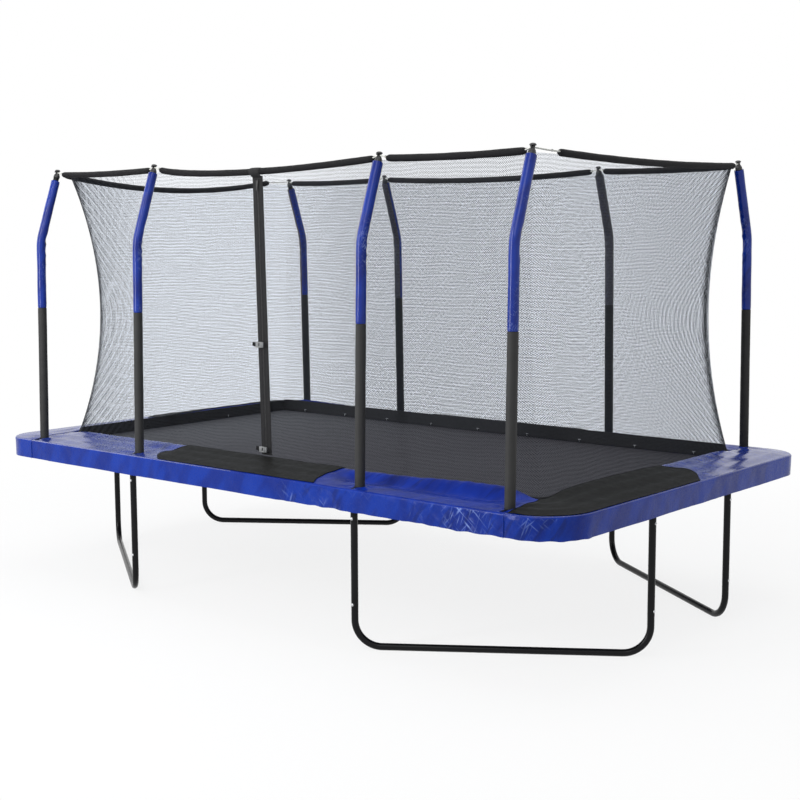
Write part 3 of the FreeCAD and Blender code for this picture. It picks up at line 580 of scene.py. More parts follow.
def quads(index):
    """The four-sided faces of a grid of point numbers."""
    corners = (index[:-1, :-1], index[:-1, 1:], index[1:, 1:], index[1:, :-1])
    return np.stack([corner.ravel() for corner in corners], axis=1)


def face_outward(mesh):
    made = bmesh.new()
    made.from_mesh(mesh)
    bmesh.ops.recalc_face_normals(made, faces=made.faces[:])
    made.to_mesh(mesh)
    made.free()


class Shape:
    """Points and faces gathered for one mesh, with up to six marks for each point."""

    def __init__(self):
        self.points = []
        self.faces = []
        self.slots = []
        self.marks = []
        self.count = 0

    def add(self, points, faces, slot=0, marks=None):
        points = np.asarray(points, float).reshape(-1, 3)
        marks = np.zeros((len(points), 6)) if marks is None else marks.reshape(len(points), -1)
        self.points.append(points)
        self.marks.append(np.pad(marks, ((0, 0), (0, 6 - marks.shape[1]))))
        self.faces.extend([[index + self.count for index in face] for face in faces])
        self.slots.extend([slot] * len(faces))
        self.count += len(points)

    def grid(self, rows, wrap=False, loop=False, caps=False, slot=0, marks=None):
        """Quads over rows of points: wrap closes each row, loop joins the last row to the first."""
        index = np.arange(len(rows) * len(rows[0])).reshape(len(rows), -1)
        ends = [index[0, ::-1].tolist(), index[-1].tolist()]
        index = np.concatenate([index, index[:, :1]], axis=1) if wrap else index
        index = np.concatenate([index, index[:1]], axis=0) if loop else index
        self.add(rows, quads(index).tolist() + (ends if caps else []), slot, marks)

    def bar(self, path, radius, sides=16, across=UP, flatten=1.0, rim=0.0, slot=0):
        """A solid round bar along a path, its end edges eased by a small rim."""
        path = np.asarray(path, float)
        rings = skin(path, radius, sides, across, flatten)
        if rim:
            first, last = unit(path[1] - path[0]), unit(path[-1] - path[-2])
            drawn = [1 - rim / np.linalg.norm(rings[at, 0] - path[at]) for at in (0, -1)]
            start, end = [path[at] + (rings[at] - path[at]) * drawn[at] for at in (0, -1)]
            rings = np.concatenate([[start], rings[:1] + first * rim, rings[1:-1],
                                    rings[-1:] - last * rim, [end]])
        self.grid(rings, wrap=True, caps=True, slot=slot)

    def ring(self, path, radius, sides=8):
        """A closed wire through its points."""
        closed = np.concatenate([path[-1:], path, path[:1]])
        self.grid(skin(closed, radius, sides, UP)[1:-1], wrap=True, loop=True)

    def sleeve(self, path, radius, bore, rim, marks=None):
        """An open sleeve along a pole: its skin, its eased ends and its bore."""
        outer, bores = [skin(path, reach, SLEEVE_SIDES, LENGTHWISE) for reach in (radius, bore)]
        first, last = unit(path[1] - path[0]), unit(path[-1] - path[-2])
        mouth, tail = [path[at] + (outer[at] - path[at]) * (1 - rim / SLEEVE_R) for at in (0, -1)]
        inside = np.roll(skin(path[::-1][1:-1], bore, SLEEVE_SIDES, LENGTHWISE)[:, ::-1], 1, axis=1)
        rings = np.concatenate([bores[:1], [mouth], outer[:1] + first * rim, outer[1:-1],
                                outer[-1:] - last * rim, [tail], bores[-1:], inside])
        if marks is not None:
            marks = np.concatenate([marks[:1], marks[:1], marks, marks[-1:], marks[-1:],
                                    np.zeros((*inside.shape[:2], 6))])
        self.grid(rings, wrap=True, loop=True, marks=marks)

    def block(self, corner, opposite, edge, slot=0):
        """A box between two corners, with rounded edges."""
        low, high = np.minimum(corner, opposite), np.maximum(corner, opposite)
        made = bmesh.new()
        bmesh.ops.create_cube(made, size=1.0, matrix=Matrix.Diagonal((*(high - low), 1.0)))
        bmesh.ops.bevel(made, geom=made.edges[:], offset=edge, segments=2, affect="EDGES", profile=0.5)
        made.verts.index_update()
        points = np.array([vert.co for vert in made.verts]) + (low + high) / 2
        self.add(points, [[vert.index for vert in face.verts] for face in made.faces], slot)
        made.free()

    def dome(self, seat, outward, radius, height):
        """A low round head on a seat, stopped just short of its pole."""
        quarter = np.linspace(0.0, 1.0, 5) * math.pi / 2
        path = seat + outward * (height * np.sin(quarter))[:, None]
        path[-1] -= outward * height * 1e-3
        self.bar(path, radius * np.cos(quarter * 0.92), 12)

    def mesh(self, name):
        mesh = bpy.data.meshes.new(name)
        mesh.from_pydata(np.concatenate(self.points).tolist(), [], self.faces)
        return mesh

    def build(self, name, materials, body, slot, replaces=(), crease=38.0, closed=True):
        """Make the mesh, ride it on a body and hide the nodes it stands for.

        The marks become three attributes: flat (three numbers), crinkle (one) and lay (two).
        """
        mesh = self.mesh(name)
        for material in materials:
            mesh.materials.append(material)
        mesh.polygons.foreach_set("material_index", self.slots)
        mesh.polygons.foreach_set("use_smooth", [True] * len(self.faces))
        marks = np.concatenate(self.marks)
        if marks.any():
            flat = mesh.attributes.new("flat", "FLOAT_VECTOR", "POINT")
            flat.data.foreach_set("vector", np.ascontiguousarray(marks[:, :3]).ravel())
            crinkle = mesh.attributes.new("crinkle", "FLOAT", "POINT")
            crinkle.data.foreach_set("value", np.ascontiguousarray(marks[:, 3]))
        if marks[:, 5].any():
            lay = mesh.attributes.new("lay", "FLOAT_VECTOR", "POINT")
            lay.data.foreach_set("vector", spots(marks[:, 4], marks[:, 5]).ravel())
        if closed:
            face_outward(mesh)
        mesh.set_sharp_from_angle(angle=math.radians(crease))
        piece = bpy.data.objects.new(name, mesh)
        bpy.context.scene.collection.objects.link(piece)
        if body:
            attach(piece, body)
        if replaces:
            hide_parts(*replaces)
        return piece

    def build_steel(self, name, node):
        self.build(name, [STEEL], "frame", "frame_tube", [node])


# Top frame and legs

WASHER_R = 0.0085
SCREW_DROPS = (LEG_JOINT_Z + 0.026, TEE_END_Z - 0.022)


def corner_rails():
    for name, (side_x, side_y) in CORNERS.items():
        rail = Shape()
        plan = ((LEG_X, RAIL_Y), (RAIL_X, RAIL_Y), (RAIL_X, LEG_Y))
        path = [(side_x * x, side_y * y, RAIL_Z) for x, y in plan]
        rail.bar(rounded_path(path, CORNER_R), RAIL_R, TUBE_SIDES)
        rail.build_steel("bent_rail_" + name, "corner_rail_" + name)


def straight_rails():
    for kind, sides in (("long", LONG_SIDES), ("short", SHORT_SIDES)):
        for name, side in sides.items():
            ends = [(end * LEG_X, side * RAIL_Y, RAIL_Z) if kind == "long" else
                    (side * RAIL_X, end * LEG_Y, RAIL_Z) for end in (-1, 1)]
            rail = Shape()
            rail.bar(ends, RAIL_R, TUBE_SIDES)
            rail.build_steel("middle_rail_" + name, f"{kind}_rail_{name}")


def leg_tops(side_x, side_y):
    """A corner's two leg tops, each with the rail's direction and the outward one."""
    return (((side_x * LEG_X, side_y * RAIL_Y), np.array([1.0, 0.0, 0.0]), np.array([0.0, side_y, 0.0])),
            ((side_x * RAIL_X, side_y * LEG_Y), np.array([0.0, 1.0, 0.0]), np.array([side_x, 0.0, 0.0])))


def tee_collars():
    """Sleeves over the rail joints, each with rolled lips, a welded stub and its bead."""
    lip = ((-1.0, -0.0012), (-0.97, 0.0006), (-0.93, 0.0012), (-0.88, 0.0),
           (0.88, 0.0), (0.93, 0.0012), (0.97, 0.0006), (1.0, -0.0012))
    shares, swell = np.array(lip).T
    turns = around(40)
    collars = Shape()
    for corner in CORNERS.values():
        for (x, y), along, _ in leg_tops(*corner):
            centre = np.array([x, y, RAIL_Z])
            collars.bar(centre + along * (TEE_HALF * shares)[:, None], TEE_R + swell, TUBE_SIDES)
            collars.bar([centre, (x, y, TEE_END_Z)], LEG_R, 28, LENGTHWISE, rim=0.001)
            other = np.cross(along, UP)
            bead = centre + LEG_R * (np.sin(turns)[:, None] * along + np.cos(turns)[:, None] * other)
            bead[:, 2] -= np.sqrt(TEE_R ** 2 - (LEG_R * np.cos(turns)) ** 2)
            collars.ring(bead, 0.0028)
    collars.build_steel("tee_collars", "tee_sockets")


def leg_tubes():
    for name, corner in CORNERS.items():
        feet = [foot for foot, _, _ in leg_tops(*corner)]
        upper, base = Shape(), Shape()
        for foot in feet:
            upper.bar([(*foot, LEG_JOINT_Z), (*foot, TEE_END_Z)], LEG_R, TUBE_SIDES, LENGTHWISE, rim=0.0012)
        upper.build_steel("leg_tube_" + name, "leg_upper_" + name)
        long_foot, short_foot = feet
        top_z = LEG_JOINT_Z + 0.0008
        bend = [(*long_foot, top_z), (*long_foot, LEG_R), (*short_foot, LEG_R), (*short_foot, top_z)]
        across = np.cross((*np.subtract(short_foot, long_foot), 0.0), UP)
        base.bar(rounded_path(bend, LEG_BEND_R, 3.5), LEG_R - 0.0003, TUBE_SIDES, across, rim=0.0008)
        for foot in feet:
            swage = [(*foot, LEG_JOINT_Z - 0.004), (*foot, LEG_JOINT_Z + 0.05)]
            base.bar(swage, LEG_R - 0.003, 24, LENGTHWISE)
        base.build_steel("leg_base_" + name, "leg_lower_" + name)


def leg_bolts():
    """Domed screws through each leg joint, with a flat washer."""
    bolts = Shape()
    for corner in CORNERS.values():
        for foot, _, outward in leg_tops(*corner):
            for height in SCREW_DROPS:
                seat = np.array([*foot, height]) + outward * (LEG_R - 0.0006)
                bolts.bar([seat, seat + outward * 0.0018], WASHER_R, 20)
                bolts.dome(seat + outward * 0.0016, outward, SCREW_R, 0.0042)
    bolts.build("leg_bolts", [ZINC], "frame", "zinc_steel", ["leg_screws"])


# Enclosure poles

POLE_SIDES = 24


def pole_point(x, side_y, height):
    return np.array([x, side_y * (POLE_Y - POLE_LEAN * (height - RAIL_Z)), height])


def pole_upper_point(x, side_y, height):
    rise = height - POLE_BEND_Z
    return pole_point(x, side_y, POLE_BEND_Z) + np.array([0.0, -side_y * math.tan(POLE_TILT) * rise, rise])


def pole_path(x, side_y, foot, top, spacing):
    """A pole's centre line between two heights, bent where the pole is."""
    if top <= POLE_BEND_Z - POLE_BEND_R:
        return resample(np.array([pole_point(x, side_y, foot), pole_point(x, side_y, top)]), spacing)
    corners = [pole_point(x, side_y, foot), pole_point(x, side_y, POLE_BEND_Z),
               pole_upper_point(x, side_y, top)]
    return resample(rounded_path(corners, POLE_BEND_R), spacing)


def pole_tubes():
    for name, side_y in LONG_SIDES.items():
        lower = Shape()
        for index, x in enumerate(POLE_X):
            foot = pole_path(x, side_y, POLE_FOOT_Z, POLE_JOINT_Z, 0.3)
            lower.bar(foot, POLE_R, POLE_SIDES, LENGTHWISE, rim=0.001)
            bent = pole_path(x, side_y, POLE_JOINT_Z, POLE_TOP_Z, 0.02)
            upper = Shape()
            upper.bar(bent, POLE_R, POLE_SIDES, LENGTHWISE, rim=0.001)
            upper.build_steel(f"bent_pole_{name}_{index + 1}", f"pole_upper_{name}_{index + 1}")
        lower.build_steel("pole_feet_" + name, "pole_lower_" + name)


def foam_tube(x, side_y):
    """A soft tube that is a little out of round and pinched at its foot."""
    path = pole_path(x, side_y, FOAM_FOOT_Z, COVER_START_Z - 0.0005, 0.018)
    rings = skin(path, SLEEVE_R, SLEEVE_SIDES, LENGTHWISE)
    pinch = np.exp(-(path[:, 2] - FOAM_FOOT_Z) / 0.03)[:, None]
    radius = SLEEVE_R - 0.0004 + 0.0009 * rough(rings, 6.0, x) + 0.0003 * rough(rings, 40.0) - 0.0012 * pinch
    tube = Shape()
    tube.sleeve(path, radius, POLE_R + 0.0004, rim=0.003)
    return tube


# Each cover's closing strip: where its middle faces and half its width, in degrees round the pole
CLOSURES = {("front", 1): (60.0, 24.0), ("front", 2): (57.0, 24.0), ("front", 3): (48.0, 24.0),
            ("front", 4): (42.0, 22.0), ("back", 1): (240.0, 38.0), ("back", 2): (262.0, 74.0),
            ("back", 3): (300.0, 104.0), ("back", 4): (180.0, 40.0)}
COVER_BEND_Z = POLE_BEND_Z - 0.02
COVER_CRINKLE_GLINT_Z = 2.12


def cover_tube(name, index):
    """A shiny cover drawn over the foam: drag wrinkles, crumples inside the bend and a dark closing strip."""
    x, side_y = POLE_X[index], LONG_SIDES[name]
    end_z = SHORT_COVERS.get((name, index + 1), COVER_END_Z)
    path = pole_path(x, side_y, COVER_START_Z, end_z, 0.0065)
    rings = skin(path, SLEEVE_R, SLEEVE_SIDES, LENGTHWISE)
    across, outward, _ = np.moveaxis((rings - path[:, None]) / SLEEVE_R, -1, 0)
    facing = -side_y * outward
    height = path[:, 2]
    bend = bell(height - COVER_BEND_Z, 0.10)[:, None]
    slanting = rings[..., 2] + 0.012 * np.abs(across)
    chevron = np.clip(ridges(spots(across * 0.03, facing * 0.03, slanting), 15.0, x + 3.0 * side_y), 0, 1)
    radius = SLEEVE_R + 0.0002 + 0.0012 * rough(rings * np.array([1.0, 1.0, 0.6]), 12.0, 1.0 + x)
    radius += (0.12 + bend) * np.clip(facing + 0.15, 0, 1) * 0.0080 * (chevron - 0.55)
    radius -= 0.0008 * np.exp(-np.minimum(height - COVER_START_Z, end_z - height) / 0.006)[:, None]
    turn = np.degrees(np.arctan2(outward, across))
    middle, half = CLOSURES[(name, index + 1)]
    off = np.abs((turn - middle + 180.0) % 360.0 - 180.0)
    # Where the cover crinkles round one height, more on its inward side; the crinkle mark also places the
    # cover's painted glints and shadows.
    crinkles_and_glints = bell(height - COVER_CRINKLE_GLINT_Z, 0.20)[:, None] * (0.35 + 0.65 * np.clip(facing + 0.7, 0, 1))
    marks = np.zeros((*rings.shape[:2], 6))
    marks[..., 0] = np.clip((half - off) / 10.0 + 0.5, 0, 1)
    marks[..., 3] = np.clip(0.25 + 0.85 * crinkles_and_glints + 0.35 * rough(rings, 5.0, 9.0 + x), 0, 1)
    marks[..., 4] = np.radians((turn - middle) % 360.0) * SLEEVE_R + x
    marks[..., 5] = rings[..., 2]
    tube = Shape()
    tube.sleeve(path, radius, POLE_R + 0.0006, rim=0.0012, marks=marks)
    return tube


def sleeves():
    for name, side_y in LONG_SIDES.items():
        # The back poles take the foam's darker copy, painted shade.
        cell_foam = FOAM if name == "front" else FOAM_PAINTED_SHADE
        for index, x in enumerate(POLE_X):
            number = f"{name}_{index + 1}"
            foam_piece = foam_tube(x, side_y).build("foam_" + number, [cell_foam], "frame", "foam_cover")
            cover = cover_tube(name, index).build("cover_" + number, [COVER_BLUE], "frame", "blue_vinyl")
            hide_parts("foam_sleeves_" + name)
            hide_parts("cover_sleeves_" + name)


def hook_root(x, side_y):
    """The pole's top, its direction there and where the cap's hook grows."""
    top = pole_upper_point(x, side_y, POLE_TOP_Z)
    axis = unit(top - pole_upper_point(x, side_y, POLE_BEND_Z))
    return top, axis, top + axis * (CAP_HEIGHT - 0.004)


def pole_tops():
    """Capped pole ends, each with a stem and a broad moulded hook that curls outward over the net's cords."""
    caps = Shape()
    stem = ((-0.012, 0.0195), (-0.011, CAP_R), (0.0, CAP_R), (0.003, CAP_R - 0.001), (0.010, 0.0175),
            (0.016, 0.0135), (0.024, 0.0115), (0.034, 0.0105))
    lengths, radii = np.array(stem).T
    dome = np.linspace(0.0, math.pi / 2, 9)
    for side_y in LONG_SIDES.values():
        for x in POLE_X:
            top, axis, root = hook_root(x, side_y)
            outward = np.array([0.0, side_y, 0.0])
            caps.bar(top + axis * lengths[:, None], radii, 28, LENGTHWISE)
            crown = root + axis * 0.015 + outward * 0.003
            rise = unit(axis + outward * 0.25)
            head = crown + rise * (0.0115 * np.sin(dome))[:, None] + rise * 1e-5
            rings = np.concatenate([[0.013, 0.0185], 0.0188 * np.cos(dome * 0.94)])
            caps.bar(np.concatenate([[crown - rise * 0.003, crown], head]), rings, 24, LENGTHWISE)
            lip = [crown + outward * out + rise * up
                   for out, up in ((0.012, 0.002), (0.0185, -0.002), (0.018, -0.0085))]
            caps.bar(resample(rounded_path(lip, 0.004, 12.0), 0.0015), 0.0048, 14, LENGTHWISE, rim=0.001)
    caps.build("pole_tops", [PLASTIC], "frame", "black_plastic", ["pole_caps"])


# Bed

MAT_HALF_EDGE = MAT_EDGE / 2
EDGE_FOLD = 0.058
RING_WIRE = 0.0019
HOOK_STEPS = np.linspace(0.0, 1.0, 7)[:, None]


def spring_places(side):
    return [sign * SPRING_PITCH[side] * (i + 0.5) for i in range(SPRINGS_PER_HALF[side]) for sign in (-1, 1)]


def bed_edge(side, place):
    """A point on the mat's edge, the unit vector outward and the one along the edge."""
    if side in LONG_SIDES:
        point, outward = (place, SIDES[side] * MAT_Y, MAT_Z), (0.0, SIDES[side], 0.0)
    else:
        point, outward = (SIDES[side] * MAT_X, place, MAT_Z), (SIDES[side], 0.0, 0.0)
    return np.array(point), np.array(outward), np.cross(UP, outward)


def bed_cloth():
    """The bed: a taut cloth with cut corners, doubled along its edge."""
    lines = [np.concatenate([[-half], np.linspace(-half + MAT_CORNER, half - MAT_CORNER, count), [half]])
             for half, count in ((MAT_X, 160), (MAT_Y, 90))]
    grid_x, grid_y = np.meshgrid(*lines)
    pull = np.clip(np.abs(grid_x) + np.abs(grid_y) - (MAT_X + MAT_Y - MAT_CORNER), 0, None) / 2
    grid_x = grid_x - np.sign(grid_x) * pull
    grid_y = grid_y - np.sign(grid_y) * pull
    edge = np.minimum(MAT_X - np.abs(grid_x), MAT_Y - np.abs(grid_y))
    thick = np.where(edge < EDGE_FOLD, MAT_HALF_EDGE, MAT_THICKNESS / 2)
    sag = -0.003 * smooth(edge / 0.9) + 0.0006 * rough(spots(grid_x, grid_y), 2.2) * smooth(edge / 0.3)
    layers = [spots(grid_x, grid_y, MAT_Z + sag + lift) for lift in (thick, -thick)]
    index = np.arange(grid_x.size).reshape(grid_x.shape)
    rim = np.concatenate([index[0], index[1:, -1], index[-1, :-1][::-1], index[1:-1, 0][::-1]])
    ahead = np.roll(rim, -1)
    sides = np.stack([rim, rim + index.size, ahead + index.size, ahead], axis=1)
    cloth = Shape()
    cloth.add(np.concatenate(layers),
              np.concatenate([quads(index), quads(index)[:, ::-1] + index.size, sides]).tolist())
    made = cloth.build("bed_cloth", [MAT_CLOTH], "mat_bed", "mat_cloth", ["mat"], crease=60.0)


def edge_webbing():
    """Two rows of stitching round the mat, and a tab over each ring."""
    band = Shape()
    for side in SIDES:
        half = (MAT_X if side in LONG_SIDES else MAT_Y) - MAT_CORNER
        for inset in (0.006, 0.03):
            ends = [edge - outward * inset + UP * (MAT_HALF_EDGE + 0.0002)
                    for edge, outward, _ in (bed_edge(side, -half), bed_edge(side, half))]
            band.bar(ends, 0.0011, 6, slot=1)
        for place in spring_places(side):
            edge, outward, along = bed_edge(side, place)
            half_tab = along * 0.012 + UP * (MAT_HALF_EDGE + 0.0012)
            band.block(edge - outward * 0.046 - half_tab, edge + outward * 0.003 + half_tab, 0.0008)
    band.build("edge_webbing", [WEBBING, THREAD], "mat_bed", "black_webbing")


def ring_wires():
    """Triangular wire rings sewn into the mat's edge."""
    rings = Shape()
    for side in SIDES:
        for place in spring_places(side):
            edge, outward, along = bed_edge(side, place)
            foot = edge + outward * (0.0008 + RING_WIRE)
            half = along * (RING_WIDTH / 2 - RING_WIRE)
            tip = edge + outward * (RING_LENGTH - RING_WIRE)
            triangle = rounded_path([foot, foot - half, tip, foot + half, foot], 0.0032, 20.0)
            rings.ring(triangle[:-1], RING_WIRE)
    rings.build("ring_wires", [ZINC], "mat_bed", "zinc_steel", ["mat_rings"])


def spring_coil(side, place, reach):
    """One spring's wire: a hook in the mat ring, the close-wound barrel and a hook over the rail."""
    edge, outward, along = bed_edge(side, place)
    start, end = RING_LENGTH - 0.004, reach - RAIL_R * 0.72
    barrel = np.linspace(start + SPRING_TAPER, end - SPRING_TAPER, SPRING_TURNS * COIL_STEPS)
    angle = np.linspace(0.0, 2 * math.pi * SPRING_TURNS, len(barrel))
    taper = np.minimum(barrel - barrel[0], barrel[-1] - barrel)
    radius = (SPRING_R - SPRING_WIRE) * (0.45 + 0.55 * smooth(taper / 0.012))
    coil = edge + outward * barrel[:, None] + along * (radius * np.sin(angle))[:, None]
    coil += UP * (radius * np.cos(angle))[:, None]
    first, last = edge + outward * start, edge + outward * end
    inner = first + (coil[0] - first) * HOOK_STEPS[:-1]
    outer = coil[-1] + (last - coil[-1]) * HOOK_STEPS[1:]
    inner[0] -= UP * 0.004
    outer[-1] += UP * 0.004
    return np.concatenate([inner, coil, outer])


def spring_coils():
    """The springs of each side."""
    for side in SIDES:
        reach = (RAIL_Y - MAT_Y) if side in LONG_SIDES else (RAIL_X - MAT_X)
        coils = Shape()
        for place in spring_places(side):
            coils.grid(skin_free(spring_coil(side, place, reach), SPRING_WIRE, 6), wrap=True, caps=True)
        made = coils.build("coils_" + side, [ZINC], None, "zinc_steel", ["springs_" + side])
        middle, outward, _ = bed_edge(side, 0.0)
        tuple(middle + outward * (reach - RAIL_R))
        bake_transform(made)


# Padding

def corner_radius(x, y):
    """The pads' corner radius by quarter: the right front and left back corners are the wide ones."""
    return np.where(np.asarray(x) * np.asarray(y) < 0, PAD_WIDE_CORNER_R, PAD_TIGHT_CORNER_R)


def pad_share(x, y):
    """How far inward a plan point lies over the padding: 0 on its outer edge, 1 on its inner one."""
    round_r = corner_radius(x, y)
    to_centre = PAD_WIDTH - round_r
    x, y = np.abs(np.asarray(x, float)), np.abs(np.asarray(y, float))
    long_side = (PAD_Y - y) / PAD_WIDTH
    short_side = (PAD_X - x) / PAD_WIDTH
    away_x, away_y = x - PAD_INNER_X, y - PAD_INNER_Y
    away = np.maximum(np.hypot(away_x, away_y), 1e-9)
    ray_x, ray_y = away_x / away, away_y / away
    slope = to_centre * (ray_x + ray_y)
    reach = slope + np.sqrt(np.maximum(slope ** 2 - 2 * to_centre ** 2 + round_r ** 2, 0.0))
    hit_x, hit_y = reach * ray_x, reach * ray_y
    reach = np.where(hit_x < to_centre, PAD_WIDTH / np.maximum(ray_y, 1e-9), reach)
    reach = np.where(hit_y < to_centre, PAD_WIDTH / np.maximum(ray_x, 1e-9), reach)
    corner = 1.0 - away / reach
    share = np.where(y < PAD_INNER_Y, short_side, np.where(x < PAD_INNER_X, long_side, corner))
    return np.clip(share, 0.0, 1.0)


def valley_weight(x, y):
    """Where the long pads dip before their lip: beside the dark panel, and the same after a half turn."""
    place = -np.sign(y) * x
    right = smooth((place - 0.60) / 0.16) * smooth((1.93 - place) / 0.22)
    left = 0.5 * smooth((place + 1.1) / 0.16) * smooth((-0.70 - place) / 0.1)
    return np.maximum(right, left)


def pad_crown(x, y, inward):
    """The padding's height before its folds, at a distance inward from the outer edge."""
    weight = valley_weight(x, y)
    return eased(inward, SLOPE_KNOTS) * (1 - weight) + eased(inward, VALLEY_KNOTS) * weight


def pad_wrinkle(x, y, share):
    """Soft folds over the padding: broad swells, creases round each pole and a crinkled lip."""
    flat = np.stack([x, y, np.zeros_like(x)], axis=-1)
    lift = 0.0022 * rough(flat, 4.0, 3.0) + 0.0014 * rough(flat, 11.0, 7.0)
    for pole_x in POLE_X:
        for side_y in (-1, 1):
            away_x, away_y = x - pole_x, y - side_y * POLE_Y
            away = np.hypot(away_x, away_y)
            spokes = np.cos(7 * np.arctan2(away_y, away_x) + 3 * pole_x + side_y)
            lift = lift + 0.0040 * spokes * np.exp(-(away / 0.15) ** 2) * smooth((away - 0.03) / 0.04)
    near_lip = smooth((share - 0.62) / 0.3)
    crumpled = 0.35 + 0.65 * valley_weight(x, y)
    lift = lift + near_lip * crumpled * 0.0045 * (ridges(flat, 9.0, 21.0) - 0.5)
    lift = lift + near_lip * crumpled * 0.0020 * rough(flat, 26.0, 2.0)
    corner = np.hypot(np.abs(x) - PAD_INNER_X, np.abs(y) - PAD_INNER_Y)
    lift = lift - 0.020 * np.exp(-(corner / 0.12) ** 2) * smooth(share / 0.5)
    beside = np.abs(x) > PAD_INNER_X - 0.02
    swell = np.sin(math.pi * np.clip((np.sign(x) * y + PAD_INNER_Y) / 1.2, 0.0, 1.0))
    lift = lift + np.where(beside, 0.012 * swell * smooth((share - 0.3) / 0.6), 0.0)
    place = -np.sign(y) * x
    at_pole = smooth((place - 0.95) / 0.65) * smooth((1.96 - place) / 0.24) * smooth((share - 0.6) / 0.4)
    lift = lift + 0.024 * at_pole
    return lift * smooth(share / 0.05)


def pad_top(x, y):
    x, y = np.asarray(x, float), np.asarray(y, float)
    share = pad_share(x, y)
    return pad_crown(x, y, share * PAD_WIDTH) + pad_wrinkle(x, y, share)


# Places along the front where the skirt crinkles; there the crinkle mark also sets the painted glints and
# shadows.
CRINKLED = ((0.68, 0.26), (1.55, 0.34), (2.12, 0.26))


def skirt_crinkle(x, y):
    """Where the skirt is creased: by places along the front, and the same after a half turn."""
    place = np.where(np.abs(y) > PAD_Y - PAD_WIDE_CORNER_R, -np.sign(y) * x, -9.0)
    amount = sum(np.exp(-((place - middle) / half) ** 2) for middle, half in CRINKLED)
    return np.clip(0.12 + amount, 0.0, 1.0)


def pad_section():
    """The pad's outline as rows of (distance inward, height, part), part 0 on the skirt and 1 on top."""
    rows = [(0.0, z, 0) for z in np.linspace(SKIRT_END_Z, PAD_CREASE_Z, 18)]
    turn = np.linspace(0.0, math.pi / 2, 6)[1:]
    rows += [(0.012 * (1 - math.cos(a)), PAD_CREASE_Z + 0.012 * math.sin(a), 1) for a in turn]
    inner, lip_z = SLOPE_KNOTS[-1]
    rows += [(d, None, 1) for d in np.linspace(0.019, inner, 46)]
    nose = np.linspace(math.pi / 2, -math.pi / 2, 9)[1:]
    rows += [(inner + LIP_R * math.cos(a), lip_z - LIP_R + LIP_R * math.sin(a), 2) for a in nose]
    rows += [(d, max(PAD_UNDERSIDE, float(eased(np.array(d), VALLEY_KNOTS)) - 2 * LIP_R), 3)
             for d in np.linspace(inner - 0.006, 0.012, 22)]
    rows += [(0.0035, z, 4) for z in np.linspace(PAD_UNDERSIDE - 0.003, SKIRT_END_Z + 0.0006, 14)]
    return rows


def pad_mesh(outer, inner, normal):
    """One pad from its columns: plan points on the outer and inner edges and the outward direction."""
    section = pad_section()
    run = np.concatenate([[0.0], np.cumsum(np.linalg.norm(np.diff(outer, axis=0), axis=1))])
    rows, marks = [], []
    for distance, height, part in section:
        spot = outer + (inner - outer) * (distance / PAD_WIDTH)
        x, y = spot[:, 0], spot[:, 1]
        column = np.column_stack([x, y, np.zeros(len(x))])
        crinkle = np.zeros(len(x))
        top = pad_crown(x, y, np.full(len(x), distance))
        fold = pad_wrinkle(x, y, np.full(len(x), distance / PAD_WIDTH))
        if part in (0, 4):
            crinkle = skirt_crinkle(outer[:, 0], outer[:, 1])
            down = (PAD_CREASE_Z - height) / (PAD_CREASE_Z - SKIRT_END_Z)
            at = np.column_stack([outer, np.full(len(x), height)])
            leaning = at + np.column_stack([height - PAD_CREASE_Z + 0 * x, 0 * x, 0 * x]) * 0.8
            wave = 0.0055 * rough(np.column_stack([outer, np.zeros(len(x))]), 2.6, 4.0) * down
            drawn = leaning * np.array([1, 1, 0.3])
            wave += 0.0022 * rough(drawn, 9.0, 2.0) * smooth(down / 0.15)
            wave += 0.0055 * crinkle * (ridges(drawn, 10.0, 11.0) - 0.5) * smooth(down / 0.12)
            wave += 0.0016 * crinkle * rough(at, 34.0) * smooth(down / 0.12)
            column[:, :2] += normal * (wave - 0.0022 * down)[:, None]
            dip = 0.0060 * rough(np.column_stack([outer, np.zeros(len(x))]), 1.7, 8.0)
            dip += crinkle * 0.0060 * rough(np.column_stack([outer, np.zeros(len(x))]), 14.0, 3.0)
            column[:, 2] = height + dip * down ** 2
        elif part == 1:
            column[:, 2] = height if height is not None else top + fold
            crinkle += 0.25 + 0.75 * smooth((distance / PAD_WIDTH - 0.6) / 0.25)
        elif part == 2:
            column[:, 2] = height + fold
            crinkle += 0.8
        else:
            column[:, 2] = np.where(height > PAD_UNDERSIDE + 0.001, height + fold, height)
        rows.append(column)
        drop = np.full(len(x), PAD_CREASE_Z + distance if height is None else height)
        marks.append(np.column_stack([np.zeros((len(x), 3)), crinkle, run, drop]))
    return np.array(rows), np.array(marks)


